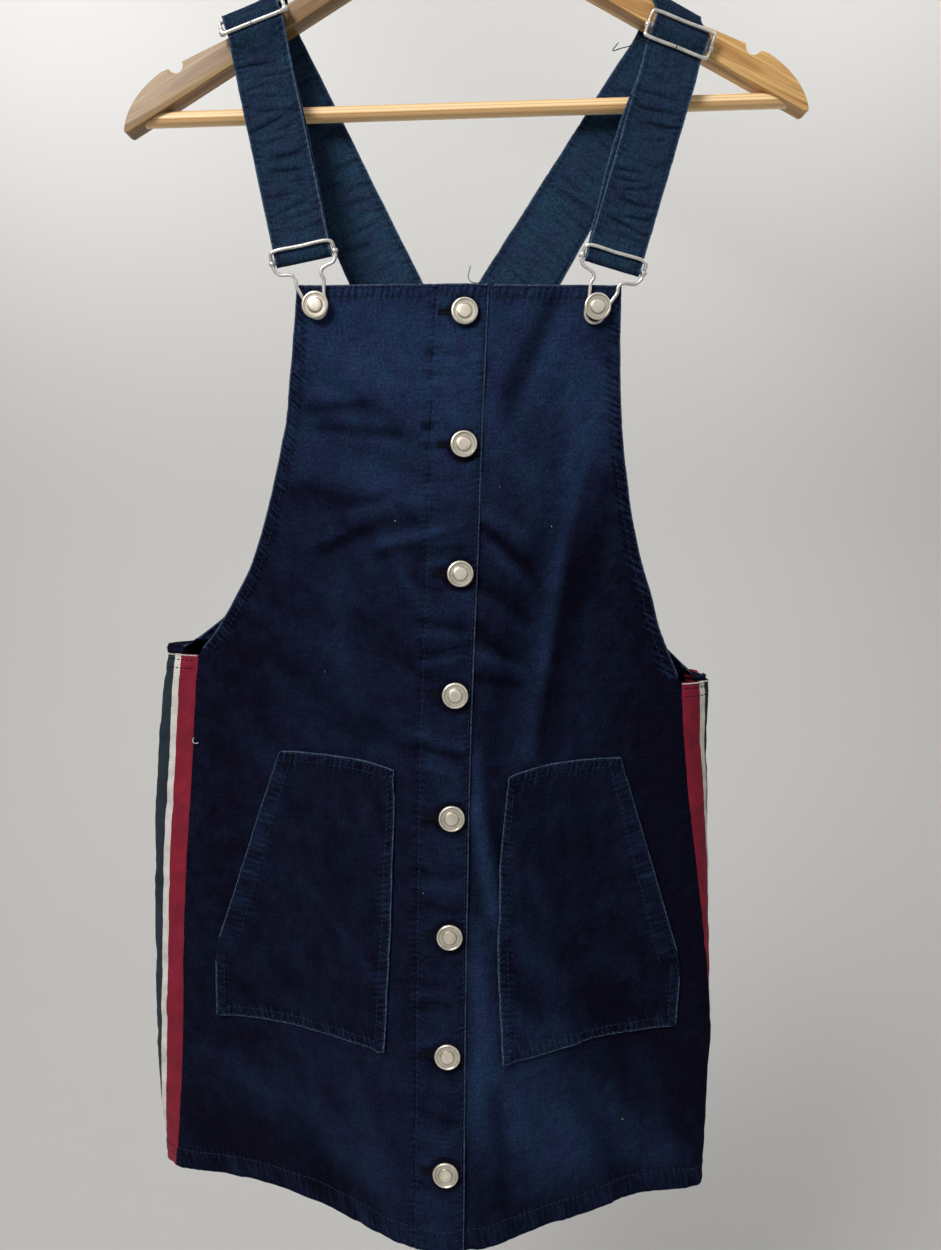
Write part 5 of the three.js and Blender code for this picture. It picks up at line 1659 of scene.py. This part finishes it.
back_seams = []
for side, towards in (("left", 1), ("right", -1)):
    back_seams += [armhole_row(back_panel, side, back_edge, row, towards, BACK_TOP_Z) for row in ARMHOLE_ROWS]
for row in BACK_ROWS:
    z = BACK_TOP_Z - row
    back_seams.append(seam_across(back_panel, z, back_edge("left", z) + 1.5, back_edge("right", z) - 1.5))
hem_low, hem_high = back_edge("left", hem_row) + 1, back_edge("right", hem_row) - 1
back_seams.append(seam_across(back_panel, hem_row, hem_low, hem_high))
sewn("back_stitching", back_seams)

tape_seams = []
overcast = []
for side, panel in tapes.items():
    top = panel["z"][-1]
    ends = sorted((front_seam(side, top), back_seam(side, top)))
    places = np.arange(ends[0] + 0.6, ends[1] - 1.4, 0.95)
    near, out = on_cloth(panel, places, np.full(len(places), top - 1.1))
    far, _ = on_cloth(panel, places + 0.5, np.full(len(places), top - 0.15))
    overcast.append((near, far, out))
    for z in (*(top - row for row in TAPE_ROWS), HEM_Z + 8, hem_row):
        ends = sorted((front_seam(side, z), back_seam(side, z)))
        tape_seams.append(seam_across(panel, z, ends[0] + 1, ends[1] - 1))
sewn("tape_stitching", tape_seams, radius=0.36, yarn=dark_thread)
sewn("tape_overcasting", overcast, radius=0.42, yarn=white_thread)


def pocket_line(data, path):
    """Stitches along a path of shares (across, up) on a pocket's face."""
    u_row, t_column = data["u"][0], data["t"][:, 0]
    order = np.argsort(u_row)
    points, normals = [], []
    for (u0, t0), (u1, t1) in zip(path, path[1:]):
        for k in np.linspace(0, 1, 70):
            c = np.interp(u0 + (u1 - u0) * k, u_row[order], order)
            r = np.interp(t0 + (t1 - t0) * k, t_column, np.arange(len(t_column)))
            i, j = min(int(r), len(t_column) - 2), min(int(c), len(u_row) - 2)
            p, q = r - i, c - j
            lower, upper = data["p"][i:i + 2, j] * (1 - q) + data["p"][i:i + 2, j + 1] * q
            points.append(lower * (1 - p) + upper * p)
            normals.append(data["n"][i, j])
    return even_stitches(np.array(points), np.array(normals))


pocket_seams = []
for data in pockets.values():
    for row in POCKET_ROWS:
        du, dt = row / POCKET_WIDE, row / POCKET_TALL
        pocket_seams.append(pocket_line(data, [(du, dt), (du, 1 - dt)]))
        pocket_seams.append(pocket_line(data, [(du, 1 - dt), (1 - du, 1 - dt)]))
        pocket_seams.append(pocket_line(data, [(du, dt), (1 - du, dt)]))
        pocket_seams.append(pocket_line(data, [(1 - du, dt), (1 - du, data["corner"])]))
    for row in (2.0, FACING_WIDTH - 0.8):
        du = row / POCKET_WIDE / 0.95
        pocket_seams.append(pocket_line(data, [(1 - du, data["corner"]), (1 - du, 0.985)]))
sewn("pocket_stitching", pocket_seams)

strap_seams = []
for data in straps.values():
    middle = data["from_edge"].shape[1] // 2
    for half in (slice(None, middle), slice(middle, None)):
        line = []
        for from_edge, places in zip(data["from_edge"][:, half], data["p"][:, half]):
            order = np.argsort(from_edge)
            line.append([np.interp(STRAP_ROW, from_edge[order], places[order, k]) for k in range(3)])
        line, outward = np.array(line), data["n"][:, 0]
        for face in (-1, 1):
            strap_seams.append(even_stitches(line + outward * face * STRAP_PLY / 2, outward * face))
sewn("strap_stitching", strap_seams, radius=0.25)

# Buttonholes
# Each is worked across the fly, with close thread along both lips of a narrow slit that the stem fills.
HOLE_LENGTH = 19.5
hole_thread = spun("buttonhole_thread", (0.0004, 0.0005, 0.0016, 1), (0.0026, 0.0036, 0.0085, 1))
hole_stitches = []
unevenly = np.random.default_rng(19)
for z, from_edge in FLY_BUTTONS:
    centre = section(z, "fly") - from_edge
    spread = np.arange(-HOLE_LENGTH + 3.5, 3.5, 0.62)
    for lip in (-1, 1):
        inner, n1 = on_cloth(right_panel, centre + spread, np.full(len(spread), z + lip * 0.25))
        reach = z + lip * unevenly.uniform(0.9, 3.1, len(spread))
        outer, n2 = on_cloth(right_panel, centre + spread + unevenly.uniform(-0.5, 0.5, len(spread)), reach)
        hole_stitches.append((inner + n1 * 0.1, outer + n2 * 0.05, n1))
    for end in (-HOLE_LENGTH + 3.2, 3.6):
        h = np.arange(z - 2, z + 2, 0.6)
        near, n1 = on_cloth(right_panel, np.full(len(h), centre + end - 0.9), h)
        far, _ = on_cloth(right_panel, np.full(len(h), centre + end + 0.9), h)
        hole_stitches.append((near, far, n1))
sewn("buttonhole_stitching", hole_stitches, radius=0.33, yarn=hole_thread)

# Loose ends and lint
# Ends of thread left by the sewing stand out at the bib's top, at a slide and beside a side tape,
# and a few flecks of white lint lie on the cloth. They are bent threads and short fibres.
BIB_END = [(0, 0.3, -1), (-3, -0.4, 0.6), (-8, -0.8, 1.2), (-10.5, -1, 4), (-9.6, -1.2, 8.5), (-9, -1, 11)]
SLIDE_END = [(0, 0, 0), (-4, -1.2, 1.2), (-10, -0.6, -1.8), (-17, 0, -3.4), (-22, 0.4, -4.6), (-18.5, 0.2, 0)]
TAPE_END = [(0, 0.2, 3), (-0.4, -0.9, 0.8), (1.2, -1.3, -0.6), (3.4, -0.8, -0.4)]
FLECK = 0.14
LINT = ((28, -436), (62, -462), (-40, -458), (132, -728), (-22, -702), (118, -884), (-90, -560), (70, -812))


def loose_end(name, start, offsets, radius, yarn):
    piece = bent_wire(name, [start + np.array(offset, float) for offset in offsets], radius)
    piece.data.materials.append(yarn)
    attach(piece, "root")
    return piece


bib_corner, _ = on_cloth(right_panel, [top_fly - 3], [BIB_TOP_Z - 0.5])
loose_end("loose_thread_bib", bib_corner[0], BIB_END, 0.25, thread)
slide_foot = at(slide_axes(STRAPS["left"]), -17, -SLIDE_HALF_HEIGHT - 3, 1.5)
loose_end("loose_thread_slide", slide_foot, SLIDE_END, 0.3, thread)
tape_side, _ = on_cloth(right_panel, [front_seam("right", -613) + 0.6], [-613])
loose_end("loose_thread_tape", tape_side[0], TAPE_END, 0.28, white_thread)
flecks = []
for k, (x, z) in enumerate(LINT):
    panel = right_panel if x < fly_at(z) else left_panel
    spot, out = on_cloth(panel, [arc_at_x(x, z)], [z])
    turn = 1.9 * k
    run = np.array([math.cos(turn), 0, math.sin(turn)]) * (0.35 + 0.12 * (k % 3))
    lifted = spot[0] + out[0] * 0.25
    flecks.append(bent_wire("fleck", [lifted - run, lifted + out[0] * 0.1, lifted + run], FLECK))
lint = joined("lint", flecks)
lint.data.materials.append(white_thread)
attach(lint, "root")

# Hanger
# A flat shaped board of pale varnished wood with a notch near each end, a round bar let in between the arms,
# and a bent wire hook screwed into the neck. It hangs turned a little on the rail.
TILT = math.radians(1.7)
BAR_RADIUS = 4.75
BAR_Z = -196.5
BAR_HALF = 206.0


def eased(a, b, c, d, steps=7):
    """Points of a cubic curve, without its first."""
    t = np.linspace(0, 1, steps + 1)[1:, None]
    a, b, c, d = (np.array(p, float) for p in (a, b, c, d))
    return list(a * (1 - t) ** 3 + 3 * b * t * (1 - t) ** 2 + 3 * c * t**2 * (1 - t) + d * t**3)


def half_board():
    """The board's outline on its +X side, from the neck's top down to the middle underneath."""
    points = [np.array([0.0, -62.0])]
    points += eased((0, -62), (18, -62), (16, -80), (34, -90))
    points += [np.array(p, float) for p in ((75, -114.5), (108, -132.3), (148, -151.8), (178, -164.5))]
    for angle in np.linspace(math.pi * 0.87, math.pi * 1.84, 9):
        points.append(np.array([183 + 5 * math.cos(angle), -166.5 + 5 * math.sin(angle)]))
    points.append(np.array([192.0, -170.5]))
    points += eased((192, -170.5), (206, -179), (217, -192), (218.5, -205), 9)
    points.append(np.array([216.0, -205.8]))
    points.append(np.array([75.0, -128.0]))
    points += eased((75, -128), (40, -109), (20, -96), (0, -94))
    return points


right_half = half_board()
outline = right_half + [np.array([-x, z]) for x, z in reversed(right_half[1:-1])]
bpy.ops.object.select_all(action="DESELECT")
bpy.ops.mesh.primitive_circle_add(vertices=len(outline), radius=1, fill_type="NGON")
board = bpy.context.object
board.name = board.data.name = "hanger_arms"
for vertex, (x, z) in zip(board.data.vertices, outline):
    vertex.co = (x * MM, -BOARD_THICK / 2 * MM, z * MM)
bpy.ops.object.mode_set(mode="EDIT")
bpy.ops.mesh.select_all(action="SELECT")
bpy.ops.mesh.extrude_region_move(TRANSFORM_OT_translate={"value": (0, BOARD_THICK * MM, 0)})
bpy.ops.mesh.select_all(action="SELECT")
bpy.ops.mesh.normals_make_consistent(inside=False)
bpy.ops.object.mode_set(mode="OBJECT")
rounding = board.modifiers.new("rounding", "BEVEL")
rounding.width = 1.6 * MM
rounding.segments = 4
rounding.limit_method = "ANGLE"
rounding.angle_limit = math.radians(50)
bpy.ops.object.modifier_apply(modifier="rounding")
bpy.ops.object.shade_smooth_by_angle(angle=math.radians(35))

bpy.ops.object.select_all(action="DESELECT")
bpy.ops.mesh.primitive_cylinder_add(vertices=40, radius=BAR_RADIUS * MM, depth=2 * BAR_HALF * MM)
bar = bpy.context.object
bar.name = bar.data.name = "hanger_rod"
bar.rotation_euler = (0, math.pi / 2, 0)
bar.location = (0, 0, BAR_Z * MM)
bpy.ops.object.transform_apply(location=True, rotation=True, scale=True)
bpy.ops.object.shade_smooth_by_angle(angle=math.radians(40))


def grained(piece, rise):
    """Marks each point with its place along and across the grain, which follows each arm, and with its place
    from end to end for the painted light.
    """
    spots = np.array([v.co for v in piece.data.vertices])
    along = np.abs(spots[:, 0]) * math.cos(rise) - spots[:, 2] * math.sin(rise)
    across = np.abs(spots[:, 0]) * math.sin(rise) + spots[:, 2] * math.cos(rise)
    grain = piece.data.attributes.new("grain", "FLOAT_VECTOR", "POINT")
    places = np.stack([along, across, spots[:, 1]], -1)
    grain.data.foreach_set("vector", places.reshape(-1).astype(np.float32))
    paler = piece.data.attributes.new("painted_light_along_hanger", "FLOAT", "POINT")
    paler.data.foreach_set("value", (spots[:, 0] / 0.2).astype(np.float32))


def varnished(name, light, dark, deep, left_end_light, right_end_light):
    """Pale wood under thin varnish, streaked along its grain, with painted light that scales it from one end
    to the other.
    """
    wood = bpy.data.materials.new(name)
    r = Recipe(wood)
    grain = r.mark("grain", "Vector")
    base = light
    for streaks, tint, low, high in (
        (r.noise(grain, 150, 5, (0.07, 1, 1), distortion=0.8), dark, 0.38, 0.62),
        (r.noise(grain, 1000, 3, (0.02, 1, 1)), deep, 0.50, 0.88),
        (r.noise(grain, 22, 3, (0.3, 1, 1)), dark, 0.45, 0.8),
        (r.noise(grain, 260, 2, (0.03, 1, 1), distortion=1.2), deep, 0.55, 0.72),
    ):
        base = r.mix(r.ramp(streaks, low, high), base, tint)
    fibre = r.noise(grain, 1500, 2, (0.03, 1, 1))
    r.finish({
        "Base Color": r.scaled(base, r.ramp(r.mark("painted_light_along_hanger"), -0.3, 0.3, left_end_light, right_end_light)),
        "Roughness": r.ramp(fibre, 0.0, 1.0, 0.34, 0.56), "Normal": r.bump(fibre, 0.3, 0.0001),
        "Specular IOR Level": 0.3, "Coat Weight": 0.12, "Coat Roughness": 0.25,
    })
    return wood


grained(board, math.radians(27))
grained(bar, 0.0)
# The board is painted brighter towards its +X arm as painted light. The bar is brightened almost evenly.
board_wood = varnished(
    "board_wood", (0.46, 0.29, 0.110, 1), (0.26, 0.135, 0.045, 1), (0.10, 0.045, 0.016, 1), 0.72, 1.65,
)
bar_wood = varnished(
    "bar_wood", (0.60, 0.44, 0.25, 1), (0.38, 0.235, 0.105, 1), (0.13, 0.06, 0.024, 1), 1.7, 1.75,
)
board.data.materials.append(board_wood)
bar.data.materials.append(bar_wood)

HOOK_WIRE = 1.75
HOOK_BEND = 19.0
hook_points = [(0, 0, -84), (0, 0, -62), (0, 0, -46), (3.5, 0, -38.5), (12, 0, -32)]
for degrees in np.arange(-20, 206, 22.5):
    a = math.radians(degrees)
    hook_points.append((HOOK_BEND * math.cos(a), 0, HOOK_WIRE - HOOK_BEND + HOOK_BEND * math.sin(a)))
hook = bent_wire("hanger_wire_hook", hook_points, HOOK_WIRE)
hook.data.materials.append(plated("hook_wire", (0.78, 0.78, 0.77, 1), (0.6, 0.6, 0.6, 1), 0.16))

for piece, node, slot in (
    (board, "hanger_board", "hanger_wood"),
    (bar, "hanger_bar", "hanger_wood"),
    (hook, "hanger_hook", "hook_wire"),
):
    select_only(piece)
    piece.rotation_mode = "XYZ"
    piece.rotation_euler = (0, -TILT, 0)
    bpy.ops.object.transform_apply(location=True, rotation=True, scale=True)
    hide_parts(node)
    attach(piece, "root")
